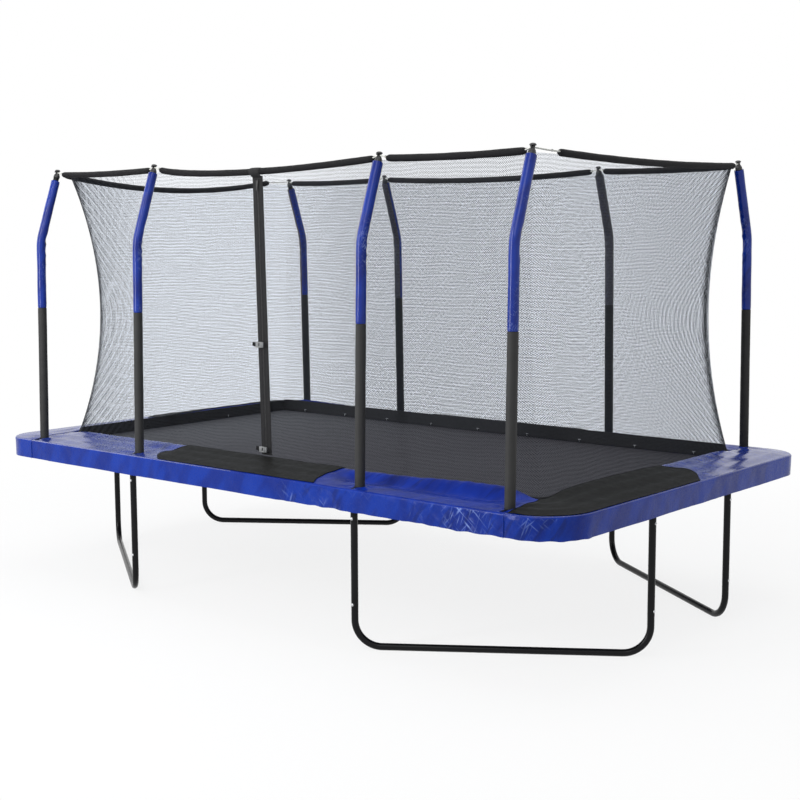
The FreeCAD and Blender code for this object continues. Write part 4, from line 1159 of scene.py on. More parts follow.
def side_columns(spacing):
    """The right pad's columns, from its seam at the front round both corners to its seam at the back."""
    halves = []
    for radius in (PAD_WIDE_CORNER_R, PAD_TIGHT_CORNER_R):
        half = [(x, -PAD_Y) for x in np.linspace(SEAM_X + 0.0006, PAD_X - radius, 6)[:-1]]
        half += [(PAD_X - radius + radius * math.sin(a), -PAD_Y + radius * (1 - math.cos(a)))
                 for a in np.linspace(0.0, math.pi / 2, 60)]
        half += [(PAD_X, y) for y in np.arange(-PAD_Y + radius + spacing, -1e-6, spacing)]
        halves.append(half)
    outer = np.array(halves[0] + [(PAD_X, 0.0)] + [(x, -y) for x, y in halves[1][::-1]])
    inner_y = np.clip(outer[:, 1], -PAD_INNER_Y, PAD_INNER_Y)
    inner = np.column_stack([np.full(len(outer), PAD_INNER_X), inner_y])
    at_seam = outer[:, 0] < PAD_INNER_X
    inner[at_seam, 0] = outer[at_seam, 0]
    radius = corner_radius(outer[:, 0], outer[:, 1])
    centre_y = np.clip(outer[:, 1], -PAD_Y + radius, PAD_Y - radius)
    centre_x = np.minimum(outer[:, 0], PAD_X - radius)
    normal = outer - np.column_stack([centre_x, centre_y])
    return outer, inner, normal / np.linalg.norm(normal, axis=1)[:, None]


def long_columns(spacing):
    """The front pad's columns, from seam to seam."""
    half = SEAM_X - 0.0006
    x = np.linspace(-half, half, round(2 * half / spacing))
    outer = np.column_stack([x, np.full(len(x), -PAD_Y)])
    inner = np.column_stack([x, np.full(len(x), -PAD_INNER_Y)])
    return outer, inner, np.column_stack([np.zeros(len(x)), np.full(len(x), -1.0)])


def pole_keyholes():
    """Cutters for the poles' holes and the slits out from them."""
    cutter = Shape()
    radius, slit = SLEEVE_R + 0.0015, 0.0016
    for side_y in LONG_SIDES.values():
        for x in POLE_X:
            foot = pole_point(x, side_y, 0.905)
            turns = np.linspace(math.asin(slit / radius), 2 * math.pi - math.asin(slit / radius), 40)
            ring = [(x + radius * math.sin(a), foot[1] + side_y * radius * math.cos(a)) for a in turns]
            far = side_y * (PAD_Y - 0.012)
            plan = np.array([(x + slit, far)] + ring + [(x - slit, far)])
            levels = [np.column_stack([plan, np.full(len(plan), z)]) for z in (0.862, 0.972)]
            cutter.grid(np.array(levels), wrap=True, caps=True)
    mesh = bpy.data.meshes.new("keyholes")
    mesh.from_pydata(np.concatenate(cutter.points).tolist(), [], cutter.faces)
    made = bmesh.new()
    made.from_mesh(mesh)
    bmesh.ops.recalc_face_normals(made, faces=made.faces[:])
    made.to_mesh(mesh)
    made.free()
    return bpy.data.objects.new("keyholes", mesh)


def dull_tops(piece, painted_sheen_below=-9.0):
    """Give a pad's upper faces its second material, a darker copy that paints shade on them, and its third, a
    paler copy that paints sheen, where X is below a value.
    """
    mesh = piece.data
    normals = np.empty(len(mesh.polygons) * 3)
    mesh.polygons.foreach_get("normal", normals)
    centres = np.empty(len(mesh.polygons) * 3)
    mesh.polygons.foreach_get("center", centres)
    slots = (np.abs(normals[2::3]) > 0.5) * np.where(centres[0::3] < painted_sheen_below, 2, 1)
    mesh.polygons.foreach_set("material_index", slots.astype(np.int32))


def cut_openings(piece, cutter):
    """Cut the keyholes out of a pad and keep the cut mesh."""
    modifier = piece.modifiers.new("keyholes", "BOOLEAN")
    modifier.operation = "DIFFERENCE"
    modifier.solver = "EXACT"
    modifier.object = cutter
    evaluated = piece.evaluated_get(bpy.context.evaluated_depsgraph_get())
    mesh = bpy.data.meshes.new_from_object(evaluated)
    piece.modifiers.clear()
    mesh.name = piece.name
    piece.data = mesh
    mesh.set_sharp_from_angle(angle=math.radians(50.0))


def pads():
    cutter = pole_keyholes()
    bpy.context.scene.collection.objects.link(cutter)
    for name, columns in (("front", long_columns), ("right", side_columns), ("back", long_columns),
                          ("left", side_columns)):
        outer, inner, normal = columns(0.009)
        if name in ("back", "left"):
            outer, inner, normal = -outer, -inner, -normal
        rows, marks = pad_mesh(outer, inner, normal)
        rows, marks = rows.transpose(1, 0, 2), marks.transpose(1, 0, 2)
        pad = Shape()
        pad.grid(rows, wrap=True, caps=True, marks=marks)
        top_cloth = BLUE_TOP if name in LONG_SIDES else BLUE_SIDE
        cloths = [BLUE, top_cloth, BLUE_PAINTED_SHEEN]
        made = pad.build("cushion_" + name, cloths, "frame", "blue_vinyl", ["pad_" + name], crease=50.0)
        cut_openings(made, cutter)
        # The front pad's left half takes the painted-sheen copy.
        dull_tops(made, 0.0 if name == "front" else -9.0)
    bpy.data.objects.remove(cutter)


def pad_bindings():
    """Blue piping over the seams between pads, and black tape beside the slits at the poles, a binding that
    also paints the shade in each slit.
    """
    tape = Shape()
    for side_x in (-1, 1):
        for side_y in (-1, 1):
            distances = np.linspace(0.324, 0.014, 50)
            x = np.full(len(distances), side_x * SEAM_X)
            y = side_y * (PAD_Y - distances)
            crest = np.column_stack([x, y, pad_top(x, y) + 0.0006])
            drop = [(side_x * SEAM_X, side_y * (PAD_Y + 0.0012), z)
                    for z in np.linspace(PAD_CREASE_Z - 0.002, SKIRT_END_Z - 0.001, 12)]
            turn = (side_x * SEAM_X, side_y * (PAD_Y - 0.003), PAD_CREASE_Z + 0.0106)
            path = np.concatenate([crest, [turn], drop])
            tape.bar(path, 0.0026, 10, (1, 0, 0), flatten=0.5, slot=1)
    # Black binding tape along each slit, which also paints the slit's shade as a dark line.
    for side_y in LONG_SIDES.values():
        for pole_x in POLE_X:
            for edge in (-1, 1):
                distances = np.linspace(PAD_Y - POLE_Y - SLEEVE_R + 0.004, 0.016, 12)
                x = np.full(len(distances), pole_x + edge * 0.0062)
                y = side_y * (PAD_Y - distances)
                path = np.column_stack([x, y, pad_top(x, y) + 0.0004])
                tape.bar(path, 0.0046, 10, (1, 0, 0), flatten=0.25)
    tape.build("pad_bindings", [THREAD, BLUE], "frame", "black_webbing")


def arc_through(start, middle, end, share):
    """A gentle curve through three values, as a function of the share along it."""
    share = np.asarray(share, float)
    bulge = 2 * (middle - (start + end) / 2)
    return start + (end - start) * share + bulge * 2 * share * (1 - share)


PANEL_LIFT = 0.0012
PANEL_THICKNESS = 0.0014


def panel_from(plan, name, pad):
    """A cloth panel over a plan grid, laid on the padding, with dark stitched edges."""
    x, y = plan[..., 0], plan[..., 1]
    flat = np.stack([x, y, np.zeros_like(x)], axis=-1)
    pucker = 0.0008 * np.clip(ridges(flat, 16.0, 31.0), 0, 1)
    base = pad_top(x, y) + PANEL_LIFT
    top = np.stack([x, y, base + PANEL_THICKNESS + pucker], axis=-1)
    bottom = np.stack([x, y, base], axis=-1)
    rows = np.concatenate([top, bottom[:, ::-1]], axis=1)
    marks = np.zeros((*rows.shape[:2], 4))
    marks[..., 3] = 0.3
    cloth = Shape()
    cloth.grid(rows, wrap=True, caps=True, marks=marks)
    made = cloth.build(name, [CHARCOAL], "frame", "dark_panel", ["pad_panels"], crease=60.0)
    "cushion_" + pad
    return top


def front_panel_plan():
    shares = np.linspace(0.0, 1.0, 46)
    y = -(PAD_Y - 0.0125) + (PAD_WIDTH - 0.0165) * shares
    left = arc_through(-0.66, -0.80, -0.712, shares)
    right = arc_through(0.66, 0.592, 0.612, shares)
    u = np.linspace(0.0, 1.0, 150)[:, None]
    x = left[None] * (1 - u) + right[None] * u
    return np.stack([x, np.broadcast_to(y, x.shape)], axis=-1)


CORNER_COLUMNS = 60


def right_panel_plan():
    """The panel over the near corner: it follows the pad's columns up to a curved end."""
    outer, inner, _ = side_columns(0.012)
    length = run_along(outer)
    shares = np.linspace(0.040, 0.965, 44)
    straight = np.interp(-PAD_INNER_Y, outer[:, 1][CORNER_COLUMNS:], length[CORNER_COLUMNS:])
    end_y = arc_through(0.03, 0.22, 0.11, smooth(shares) * 0.5 + shares * 0.5)
    ends = straight + (end_y + PAD_INNER_Y)
    marks = length[2] + (ends - length[2]) * np.linspace(0.0, 1.0, 130)[:, None]
    out, back = [np.stack([np.interp(marks, length, values) for values in edge.T], axis=-1)
                 for edge in (outer, inner)]
    return out + (back - out) * shares[:, None]


def panels():
    """Dark cloth over the pads, alike after a half turn, with a thread line round each."""
    threads = Shape()
    for names, plan in ((("front", "back"), front_panel_plan()), (("right", "left"), right_panel_plan())):
        for name, sign in zip(names, (1, -1)):
            top = panel_from(plan * sign, "panel_" + name, name)
            edges = [top[0], top[-1], top[:, -1], top[:, 0]]
            for edge in edges:
                threads.bar(resample(edge, 0.012) + UP * 0.0003, 0.0018, 6)
    threads.build("panel_threads", [THREAD], "frame", "black_webbing")


def rail_straps():
    """Elastic loops from the pads' undersides round the rail."""
    straps = Shape()
    places = [("long", x) for x in (-1.584, -0.396, 0.396, 1.584)] + [("short", y) for y in (-0.8, 0.0, 0.8)]
    radius = RAIL_R + 0.0014
    turns = np.linspace(-0.5 * math.pi, 1.5 * math.pi, 30)
    loop = [(radius * math.cos(a), radius * math.sin(a)) for a in turns[6:-5]]
    loop = [(0.004, 0.0298), (0.010, 0.0296)] + loop[::-1] + [(-0.010, 0.0296), (-0.004, 0.0298)]
    for kind, place in places:
        for side in (-1, 1):
            if kind == "long":
                path = [(place, side * (RAIL_Y + across), RAIL_Z + height) for across, height in loop]
            else:
                path = [(side * (RAIL_X + across), place, RAIL_Z + height) for across, height in loop]
            width = LENGTHWISE if kind == "long" else (0, 1, 0)
            straps.bar(np.array(path), 0.0125, 10, width, flatten=0.08)
    straps.build("rail_straps", [WEBBING], "frame", "black_webbing", ["pad_straps"])


# Safety net

def net_corner(side_x, side_y, share):
    """At each share of the height, the two walls' distances at a corner and the round between them."""
    foot, top, waist = NET_CORNERS.get((side_x, side_y), (NET_FOOT, NET_TOP, NET_WAIST))
    drawn = waist * 4 * share * (1 - share)
    return [low + (high - low) * share for low, high in zip(foot, top)] + [drawn / (1 - math.sqrt(0.5))]


def hem_drop(share, sag, skew):
    """How far a run of the hem hangs at a share along it, lowest nearer its start if the skew is below 1."""
    share = share ** skew
    return 4 * sag * share * (1 - share)


def hem_height(name, place):
    """The hem's height over a place along a named wall."""
    height = np.full(place.shape, HEM_END_Z)
    for (start, end), (sag, skew) in zip(hem_ends(name), HEM_SAGS[name]):
        share = np.clip((place - start) / (end - start), 0.0, 1.0)
        height = height - hem_drop(share, sag, skew)
    return height


def hem_ends(name):
    """Where the hem's runs start and end along a wall."""
    if name in LONG_SIDES:
        return [(left + LONG_HEM_SETBACK, right - LONG_HEM_SETBACK)
                for left, right in zip(POLE_X, POLE_X[1:])]
    near, far = HEM_Y - SHORT_HEM_NEAR, HEM_Y - SHORT_HEM_FAR
    return [(-far, near)] if name == "right" else [(-near, far)]


def wall_grid(name, share, columns):
    """Points on a net wall: straight in its middle, turning half of each corner's round."""
    long_wall = name in LONG_SIDES
    sign = LONG_SIDES[name] if long_wall else SHORT_SIDES[name]
    across = 0 if long_wall else 1
    run = np.linspace(0.0, 1.0, columns)[None]
    corners = [net_corner(*((end, sign) if long_wall else (sign, end)), share) for end in (-1, 1)]
    low, high = [corner[across] - (1 - math.sqrt(0.5)) * corner[2] for corner in corners]
    place = -low * (1 - run) + high * run
    depth = corners[0][1 - across] * (1 - run) + corners[1][1 - across] * run
    for end, corner in zip((-1, 1), corners):
        radius = np.maximum(corner[2], 1e-6)
        past = np.clip(end * place - (corner[across] - radius), 0.0, radius)
        depth = depth - radius + np.sqrt(np.maximum(radius ** 2 - past ** 2, 0.0))
    from_seam = np.minimum(place + low, high - place)
    return place, depth, from_seam, sign


RIPPLE_PITCH = 0.0205
FAN_PITCH = {"front": 0.040, "back": 0.020, "left": 0.020, "right": 0.040}
FAN_MIDDLE_Z = 1.72
FAN_REACH = {"front": 1.0, "back": 1.0, "left": 0.8, "right": 0.9}
FAN_WEIGHT = 0.9
GATHERS = {(-1, -1): (0.75, 0.055), (1, 1): (0.8, 0.036)}
SLACK = {"front": ((-1.95, 0.04), (-0.9, -0.08), (0.1, -0.06), (1.0, 0.05), (1.95, 0.05)),
         "back": ((-1.95, -0.04), (-1.0, 0.03), (0.9, 0.02), (1.95, 0.07)),
         "left": ((-1.05, 0.07), (-0.3, -0.06), (1.05, -0.08)), "right": ((-1.05, 0.0), (1.05, 0.07))}


def net_fan(name, place, height):
    """Ripples that open out towards the wall's more drawn corner: their count and their weight."""
    from_end = (POLE_X[3] if name in LONG_SIDES else HEM_Y) - SIDES[name] * place
    opened = np.hypot(height - FAN_MIDDLE_Z, 0.25)
    weight = FAN_WEIGHT * (1.0 - smooth(from_end / FAN_REACH[name]))
    return (0.75 * opened + 0.66 * from_end) / FAN_PITCH[name], weight


def net_sheet(name):
    """One net wall, drawn in to round corners at its waist, under its sagging hem."""
    long_wall = name in LONG_SIDES
    columns, rows = (300, 110) if long_wall else (190, 110)
    share = np.linspace(0.0, 1.0, rows)[:, None]
    place, depth, from_seam, sign = wall_grid(name, share, columns)
    top = hem_height(name, place)
    height = NET_FOOT_Z + (top - 0.008 - NET_FOOT_Z) * share
    flat = np.stack([place, height, np.zeros_like(place)], axis=-1)
    inside = smooth(from_seam / 0.5) * smooth(np.minimum(share, 1 - share) / 0.12)
    depth = depth + NET_HALF_THICKNESS * smooth(from_seam / 0.05)
    depth = depth + 0.006 * rough(flat * np.array([1.0, 0.6, 1.0]), 1.9, 5.0 + len(name)) * inside
    gather = eased(place, SLACK[name])
    for end in (-1, 1):
        strength, reach = GATHERS.get((end, sign) if long_wall else (sign, end), (0.0, 1.0))
        from_end = np.where(end * place > 0, from_seam, 9.0)
        gather = gather + strength * np.exp(-(from_end / reach) ** 2)
    marks = np.stack([place, height, height / RIPPLE_PITCH, gather, *net_fan(name, place, height)], axis=-1)
    points = [place, sign * depth, height] if long_wall else [sign * depth, place, height]
    sheet = Shape()
    sheet.grid(np.stack([np.broadcast_to(value, place.shape) for value in points], axis=-1), marks=marks)
    return sheet.build("net_sheet_" + name, [NET], "frame", "net_mesh", ["net_" + name], closed=False)


def net_walls():
    for name in ("front", "back", "left", "right"):
        net_sheet(name)
        ["hem_" + name + "_1"] if name in LONG_SIDES else ["hem_" + name]


def foot_band():
    """The stout band along the net's foot, just inside the pads' lip."""
    band = Shape()
    for name, top_z in FOOT_BAND_TOPS.items():
        heights = np.linspace(NET_FOOT_Z - 0.002, top_z, 8)[:, None]
        share = np.clip((heights - NET_FOOT_Z) / (NET_TOP_Z - NET_FOOT_Z), 0.0, 1.0)
        place, depth, _, sign = wall_grid(name, share, 220)
        ruffle = 0.0012 * rough(np.stack([place, 0 * place + heights, 0 * place], axis=-1), 9.0)
        layers = []
        for lift in (-0.0016, 0.0056):
            points = [place, sign * (depth + lift + ruffle), heights + 0 * place]
            points = points if name in LONG_SIDES else [points[1], points[0], points[2]]
            layers.append(np.stack(points, axis=-1))
        band.grid(np.concatenate([layers[0], layers[1][::-1]]).transpose(1, 0, 2), wrap=True, caps=True)
    band.build("foot_band", [GREY_WEBBING], "frame", "black_webbing")


def foot_hooks():
    """Short elastic loops and wire hooks that hold the net's foot down beside the mat."""
    hooks = Shape()
    places = []
    for side in LONG_SIDES.values():
        places += [((x, side * (NET_FOOT[1] - 0.003)), (0, -side, 0)) for x in np.arange(-1.72, 1.73, 0.43)]
    for side in SHORT_SIDES.values():
        places += [((side * (NET_FOOT[0] - 0.003), y), (-side, 0, 0)) for y in np.arange(-0.84, 0.85, 0.42)]
    for (x, y), inward in places:
        inward = np.array(inward, float)
        spot = np.array([x, y, NET_FOOT_Z + 0.016])
        path = [spot + inward * 0.001, spot + inward * 0.006, spot + inward * 0.008 - UP * 0.010,
                spot + inward * 0.002 - UP * 0.013]
        along = np.cross(inward, UP)
        hooks.bar(resample(rounded_path(path, 0.002, 20.0), 0.002), 0.0016, 8, along)
        low, high = spot - along * 0.011 - UP * 0.002, spot + along * 0.011 + inward * 0.0022
        hooks.block(np.minimum(low, high), np.maximum(low, high) + UP * 0.003, 0.0006, slot=1)
    hooks.build("foot_hooks", [ZINC, BUCKLE], "frame", "zinc_steel")


def hem_band(start, end, sag, skew, shift):
    """A padded band between two poles: a seam along it, soft dents and gathered ends."""
    start, end = np.array(start, float), np.array(end, float)
    count = round(np.linalg.norm(end - start) / 0.012)
    share = np.linspace(0.0, 1.0, count)[:, None]
    path = start + (end - start) * share - UP * hem_drop(share, sag, skew)
    sides = 28
    rings = skin(path, HEM_R, sides, (0, 0, 1))
    tips = np.minimum(np.arange(count), np.arange(count)[::-1]) * 0.012
    radius = HEM_R * (1 - 0.30 * np.exp(-tips / 0.008))[:, None]
    radius = radius + 0.0011 * rough(rings, 7.0, shift) + 0.0006 * rough(rings, 25.0, shift)
    angle = 2 * math.pi * np.arange(sides) / sides
    off_seam = ((angle - math.pi * 0.86) + math.pi) % (2 * math.pi) - math.pi
    radius = radius - 0.0022 * np.exp(-off_seam ** 2 / 0.01)
    radius[tips < 0.05] += (0.0008 * np.cos(9 * angle))[None] * np.exp(-tips[tips < 0.05] / 0.02)[:, None]
    band = Shape()
    band.grid(skin(path, np.minimum(radius, HEM_R + 0.0012), sides, (0, 0, 1)), wrap=True, caps=True)
    return band


def hem_line(name, place):
    """A point at the hem's level over a place along a named side."""
    if name in LONG_SIDES:
        return (place, LONG_SIDES[name] * HEM_Y, HEM_END_Z)
    return (SHORT_SIDES[name] * POLE_X[3], place, HEM_END_Z)


def hems():
    pieces = []
    for side, name in enumerate(("front", "back", "left", "right")):
        for index, ((start, end), (sag, skew)) in enumerate(zip(hem_ends(name), HEM_SAGS[name])):
            label = f"hem_{name}_{index + 1}" if name in LONG_SIDES else "hem_" + name
            band = hem_band(hem_line(name, start), hem_line(name, end), sag, skew, start + side)
            pieces.append(band.build(label, [WEBBING], "frame", "black_webbing"))
    for piece in pieces:
        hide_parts("top_hem")


def hem_cords():
    """Doubled elastic cords from each end of the hem to the hook beside it, with a toggle on each."""
    cords = Shape()
    for side_y in LONG_SIDES.values():
        for x in POLE_X:
            hook = hook_root(x, side_y)[2] + UP * 0.004
            runs = []
            for side_x in (-1, 1):
                if POLE_X[0] <= x + side_x * 0.01 <= POLE_X[3]:
                    runs.append((hook + np.array([side_x * 0.0075, 0, 0]),
                                 np.array([x + side_x * (LONG_HEM_SETBACK + 0.004), side_y * HEM_Y,
                                           HEM_END_Z + 0.004])))
            if abs(x) == POLE_X[3]:
                setback = SHORT_HEM_NEAR if x * side_y > 0 else SHORT_HEM_FAR
                runs.append((hook - np.array([0, side_y * 0.008, 0]),
                             np.array([x, side_y * (HEM_Y - setback - 0.004), HEM_END_Z + 0.004])))
            for start, end in runs:
                across = unit(np.cross(end - start, (0, 0, 1))) * 0.0042
                for offset in (-across, across):
                    middle = (start + end) / 2 + offset - UP * 0.0015
                    path = np.array([start + offset * 0.6, middle, end + offset])
                    path = resample(rounded_path(path, 0.15, 2.0), 0.006)
                    cords.bar(path, 0.0037, 8, (0, 0, 1))
                toggle = start + (end - start) * 0.7
                half = unit(end - start) * 0.005
                cords.bar([toggle - half, toggle + half], 0.0062, 14, rim=0.0015, slot=1)
    cords.build("hem_cords", [CORD, PLASTIC], "frame", "black_webbing", ["hem_ties"])


# Door

def wall_front(height, lift):
    """How far out the front wall's face is at a height, plus a lift."""
    share = (height - NET_FOOT_Z) / (NET_TOP_Z - NET_FOOT_Z)
    return -(NET_FOOT[1] + share * (NET_TOP[1] - NET_FOOT[1]) + 2 * NET_HALF_THICKNESS + lift)


TAPE_LIFT = 0.0003
TAPE_THICKNESS = 0.0018
TOOTH_PITCH = 0.0056


def wall_strip(shape, x_low, x_high):
    """A zip's tape lying on the front wall, with a little waviness."""
    heights = np.linspace(ZIP_FOOT_Z, ZIP_TOP_Z, 60)
    wave = 0.0011 * rough(np.column_stack([heights * 0, heights * 0, heights]), 7.0, x_low * 3)
    rows = []
    for height, shift in zip(heights, wave):
        front = wall_front(height, TAPE_LIFT + TAPE_THICKNESS)
        back = wall_front(height, TAPE_LIFT)
        rows.append([(x_low + shift, back, height), (x_low + shift, front + 0.0003, height),
                     (x_low + shift + 0.0006, front, height), (x_high + shift - 0.0006, front, height),
                     (x_high + shift, front + 0.0003, height), (x_high + shift, back, height)])
    shape.grid(np.array(rows), wrap=True, caps=True)


def zip_band():
    """Two woven tapes, their stitch lines and the interlocked teeth."""
    band = Shape()
    half = ZIP_WIDTH / 2
    wall_strip(band, DOOR_X - half, DOOR_X - 0.0002)
    wall_strip(band, DOOR_X + 0.0002, DOOR_X + half)
    hem_z = float(hem_height("front", np.array([DOOR_X]))[0])
    round_hem = HEM_R + 0.0022
    over = [(DOOR_X, wall_front(z, 0.0024), z) for z in (ZIP_TOP_Z - 0.02, ZIP_TOP_Z - 0.008)]
    over += [(DOOR_X, -HEM_Y - round_hem * math.cos(a), hem_z + round_hem * math.sin(a))
             for a in np.linspace(-0.9, 1.25 * math.pi, 24)]
    band.bar(over, half, 16, (1, 0, 0), flatten=0.05)
    for offset in (-half + 0.004, -0.014, 0.014, half - 0.004):
        heights = np.arange(ZIP_FOOT_Z + 0.004, ZIP_TOP_Z - 0.004, 0.009)
        for height in heights:
            path = [(DOOR_X + offset, wall_front(z, 0.0023), z) for z in (height, height + 0.006)]
            band.bar(path, 0.0006, 5, (1, 0, 0), slot=2)
    for height in np.arange(ZIP_FOOT_Z + 0.012, ZIP_TOP_Z - 0.012, TOOTH_PITCH):
        for side in (-1, 1):
            z = height + (TOOTH_PITCH / 2 if side > 0 else 0.0)
            low = (DOOR_X + (side * 0.0045 if side < 0 else -0.0006), wall_front(z, 0.0040), z)
            high = (DOOR_X + (side * 0.0045 if side > 0 else 0.0006), wall_front(z, 0.0012), z + 0.0021)
            band.block(low, high, 0.0005, slot=1)
    band.build("zip_band", [GREY_WEBBING, TEETH, THREAD], "frame", "black_webbing", ["door_zip"])


def zip_runner():
    """The slider over the teeth and its hanging pull."""
    runner = Shape()
    teeth_front = 0.0043
    front = wall_front(SLIDER_Z, teeth_front + 0.0004)
    runner.block((DOOR_X - 0.008, front - 0.005, SLIDER_Z), (DOOR_X + 0.008, front, SLIDER_Z + 0.026), 0.0016)
    runner.block((DOOR_X - 0.003, front - 0.0072, SLIDER_Z + 0.002),
                 (DOOR_X + 0.003, front - 0.0045, SLIDER_Z + 0.02), 0.0008)
    tab_front = wall_front(SLIDER_Z, teeth_front + 0.0062)
    runner.block((DOOR_X - 0.005, tab_front - 0.002, SLIDER_Z - 0.034),
                 (DOOR_X + 0.005, tab_front, SLIDER_Z + 0.008), 0.0009)
    runner.build("zip_runner", [PLASTIC], "door_slider", "black_plastic", ["zip_slider"])


def buckle_half_socket(shape, height):
    """The female half: an open box with windows that show the prongs, and its strap."""
    back = wall_front(height, BUCKLE_LIFT)
    front, left, right = back - 0.013, DOOR_X - 0.040, DOOR_X + 0.004
    low_z, high_z = height - 0.017, height + 0.017
    for y_low, y_high in ((front, front + 0.003), (back - 0.003, back)):
        shape.block((left + 0.002, y_low, low_z), (right - 0.022, y_high, high_z), 0.0009)
        shape.block((right - 0.010, y_low, low_z), (right, y_high, high_z), 0.0009)
        shape.block((right - 0.024, y_low, low_z), (right - 0.008, y_high, height - 0.009), 0.0009)
        shape.block((right - 0.024, y_low, height + 0.009), (right - 0.008, y_high, high_z), 0.0009)
    shape.block((left, front + 0.001, low_z), (right, back - 0.001, low_z + 0.004), 0.0012)
    shape.block((left, front + 0.001, high_z - 0.004), (right, back - 0.001, high_z), 0.0012)
    shape.block((left - 0.002, front + 0.001, low_z), (left + 0.008, back - 0.001, high_z), 0.0018)
    strap_left = left - 0.05
    path = [(left + 0.002, back - 0.0015, height), (strap_left + 0.028, back - 0.0015, height),
            (strap_left + 0.018, wall_front(height, 0.0022), height),
            (strap_left, wall_front(height, 0.0022), height)]
    shape.bar(resample(rounded_path(path, 0.006, 12.0), 0.004), 0.0125, 14, (0, 0, 1), flatten=0.085, slot=1)


def buckle_sockets():
    sockets = Shape()
    for height in BUCKLE_Z:
        buckle_half_socket(sockets, height)
    sockets.build("buckle_boxes", [BUCKLE, WEBBING], "frame", "grey_plastic", ["buckle_sockets"])


def buckle_tongue(name, height, node, body):
    """The male half: a ribbed grip, two sprung prongs with barbs, and its strap."""
    tongue = Shape()
    base_y = wall_front(height, BUCKLE_LIFT)
    face, middle = DOOR_X + 0.0045, base_y - 0.0065
    tongue.block((face, middle - 0.0055, height - 0.016),
                 (face + 0.015, middle + 0.0055, height + 0.016), 0.0025)
    for rib in range(3):
        x = face + 0.004 + rib * 0.0035
        tongue.block((x, middle - 0.0062, height - 0.013),
                     (x + 0.0016, middle - 0.0050, height + 0.013), 0.0004)
    for side in (-1, 1):
        tongue.block((face - 0.026, middle - 0.0024, height + side * 0.009 - 0.0019),
                     (face + 0.002, middle + 0.0024, height + side * 0.009 + 0.0019), 0.0008)
    tongue.block((face - 0.018, middle - 0.0016, height - 0.0018),
                 (face + 0.002, middle + 0.0016, height + 0.0018), 0.0006)
    strap = np.linspace(0.013, 0.05, 10)
    droop = 0.003 * smooth((strap - 0.02) / 0.03)
    path = np.column_stack([face + strap, np.full(len(strap), base_y - 0.0015) + droop * 0.4, height - droop])
    tongue.bar(path, 0.0125, 14, (0, 0, 1), flatten=0.085, slot=1)
    tongue.build(name, [BUCKLE, WEBBING], body, "grey_plastic", [node])


# Frame nodes that keep their own solids

def finish_nodes():
    for node, material in (("pole_brackets", STEEL), ("bracket_bolts", ZINC)):
        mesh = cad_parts[node].data
        mesh.materials.clear()
        mesh.materials.append(material)


# Studio

FLOOR_REACH = 30.0
LAMP_AIM_Z = 0.9


def floor_material():
    """A pale floor that takes shadows near the object and fades into the background."""
    g = Graph("pale_floor")
    pale = g.add("ShaderNodeBsdfDiffuse", Color=grey(0.92))
    clear = g.add("ShaderNodeBsdfTransparent")
    across, along, _ = g.parts(g.place)
    away = g.maths("SQRT", across * across + along * along)
    fade = g.spread(g.within(away, 2.0, 6.0), 0.84, 1.0)
    return g.finish(g.mixed(fade, pale, clear))


def studio_world():
    """Soft light from all round, which shows as white in the background and in reflections."""
    g = Graph("studio", bpy.data.worlds, "ShaderNodeOutputWorld")
    light = g.add("ShaderNodeBackground", Color=shade(0.93, 0.96, 1.0), Strength=0.5)
    white = g.add("ShaderNodeBackground", Color=grey(1.0))
    rays = g.node("ShaderNodeLightPath").outputs
    seen, glossy, passed = [Level(g, rays[name])
                            for name in ("Is Camera Ray", "Is Glossy Ray", "Is Transmission Ray")]
    shown = g.maths("MAXIMUM", seen, g.maths("MAXIMUM", glossy, passed))
    return g.finish(g.mixed(shown, light, white))


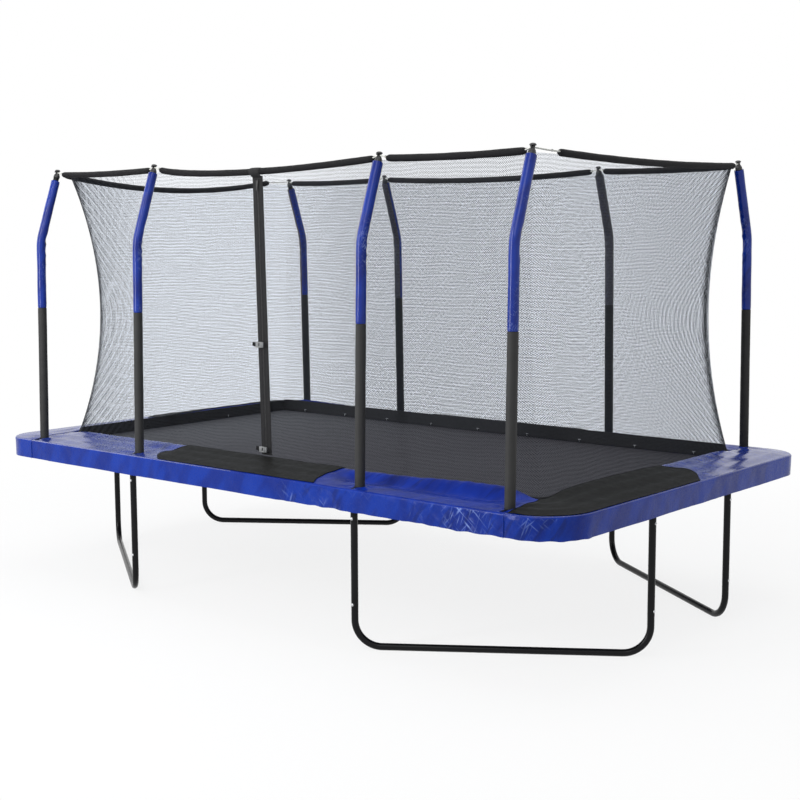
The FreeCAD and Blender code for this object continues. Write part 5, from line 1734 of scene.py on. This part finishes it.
def studio():
    """A wide floor, four soft lamps and a world that is white behind the object."""
    mesh = bpy.data.meshes.new("floor")
    corners = [(x * FLOOR_REACH, y * FLOOR_REACH, 0) for x, y in ((-1, -1), (1, -1), (1, 1), (-1, 1))]
    mesh.from_pydata(corners, [], [(0, 1, 2, 3)])
    mesh.materials.append(floor_material())
    floor = bpy.data.objects.new("floor", mesh)
    bpy.context.scene.collection.objects.link(floor)

    bpy.context.scene.world = studio_world()

    lamps = (("strip", (-1.8, -7.4, 3.4), (1.0, 5.0), 300.0), ("key", (3.5, -7.0, 7.0), (4.0, 4.0), 130.0),
             ("fill", (-7.5, -2.5, 4.5), (4.0, 4.0), 110.0), ("top", (0.0, 1.0, 7.5), (6.0, 6.0), 180.0))
    for name, place, size, power in lamps:
        data = bpy.data.lights.new(name, "AREA")
        data.shape = "RECTANGLE"
        data.size, data.size_y = size
        data.energy = power
        lamp = bpy.data.objects.new(name, data)
        lamp.location = place
        aim = Vector((0, 0, LAMP_AIM_Z)) - Vector(place)
        lamp.rotation_euler = aim.to_track_quat("-Z", "Y").to_euler()
        bpy.context.scene.collection.objects.link(lamp)


def camera():
    """The photograph's viewpoint, found from the frame's own corners."""
    yaw, pitch, roll = 0.70144, 0.11880, -0.00412
    forward = Vector((-math.sin(yaw) * math.cos(pitch), math.cos(yaw) * math.cos(pitch), -math.sin(pitch)))
    level = Vector((math.cos(yaw), math.sin(yaw), 0.0))
    rise = level.cross(forward)
    right = level * math.cos(roll) + rise * math.sin(roll)
    up = rise * math.cos(roll) - level * math.sin(roll)
    data = bpy.data.cameras.new("camera")
    data.sensor_width = 36.0
    data.lens = 61.68
    data.clip_end = 200.0
    eye = bpy.data.objects.new("camera", data)
    turn = Matrix((right, up, -forward)).transposed().to_4x4()
    eye.matrix_world = Matrix.Translation((5.8621, -6.7718, 2.2565)) @ turn
    bpy.context.scene.collection.objects.link(eye)
    bpy.context.scene.camera = eye


camera()
studio()
corner_rails()
straight_rails()
tee_collars()
leg_tubes()
leg_bolts()
pole_tubes()
sleeves()
pole_tops()
ring_wires()
bed_cloth()
edge_webbing()
spring_coils()
pads()
pad_bindings()
panels()
rail_straps()
hems()
net_walls()
foot_band()
foot_hooks()
hem_cords()
zip_band()
zip_runner()
buckle_sockets()
for level, body, node in ((0, "lower_plug", "buckle_plug_lower"), (1, "upper_plug", "buckle_plug_upper")):
    buckle_tongue("tongue_" + body.split("_")[0], BUCKLE_Z[level], node, body)
finish_nodes()

bpy.context.scene.view_settings.view_transform = "Standard"
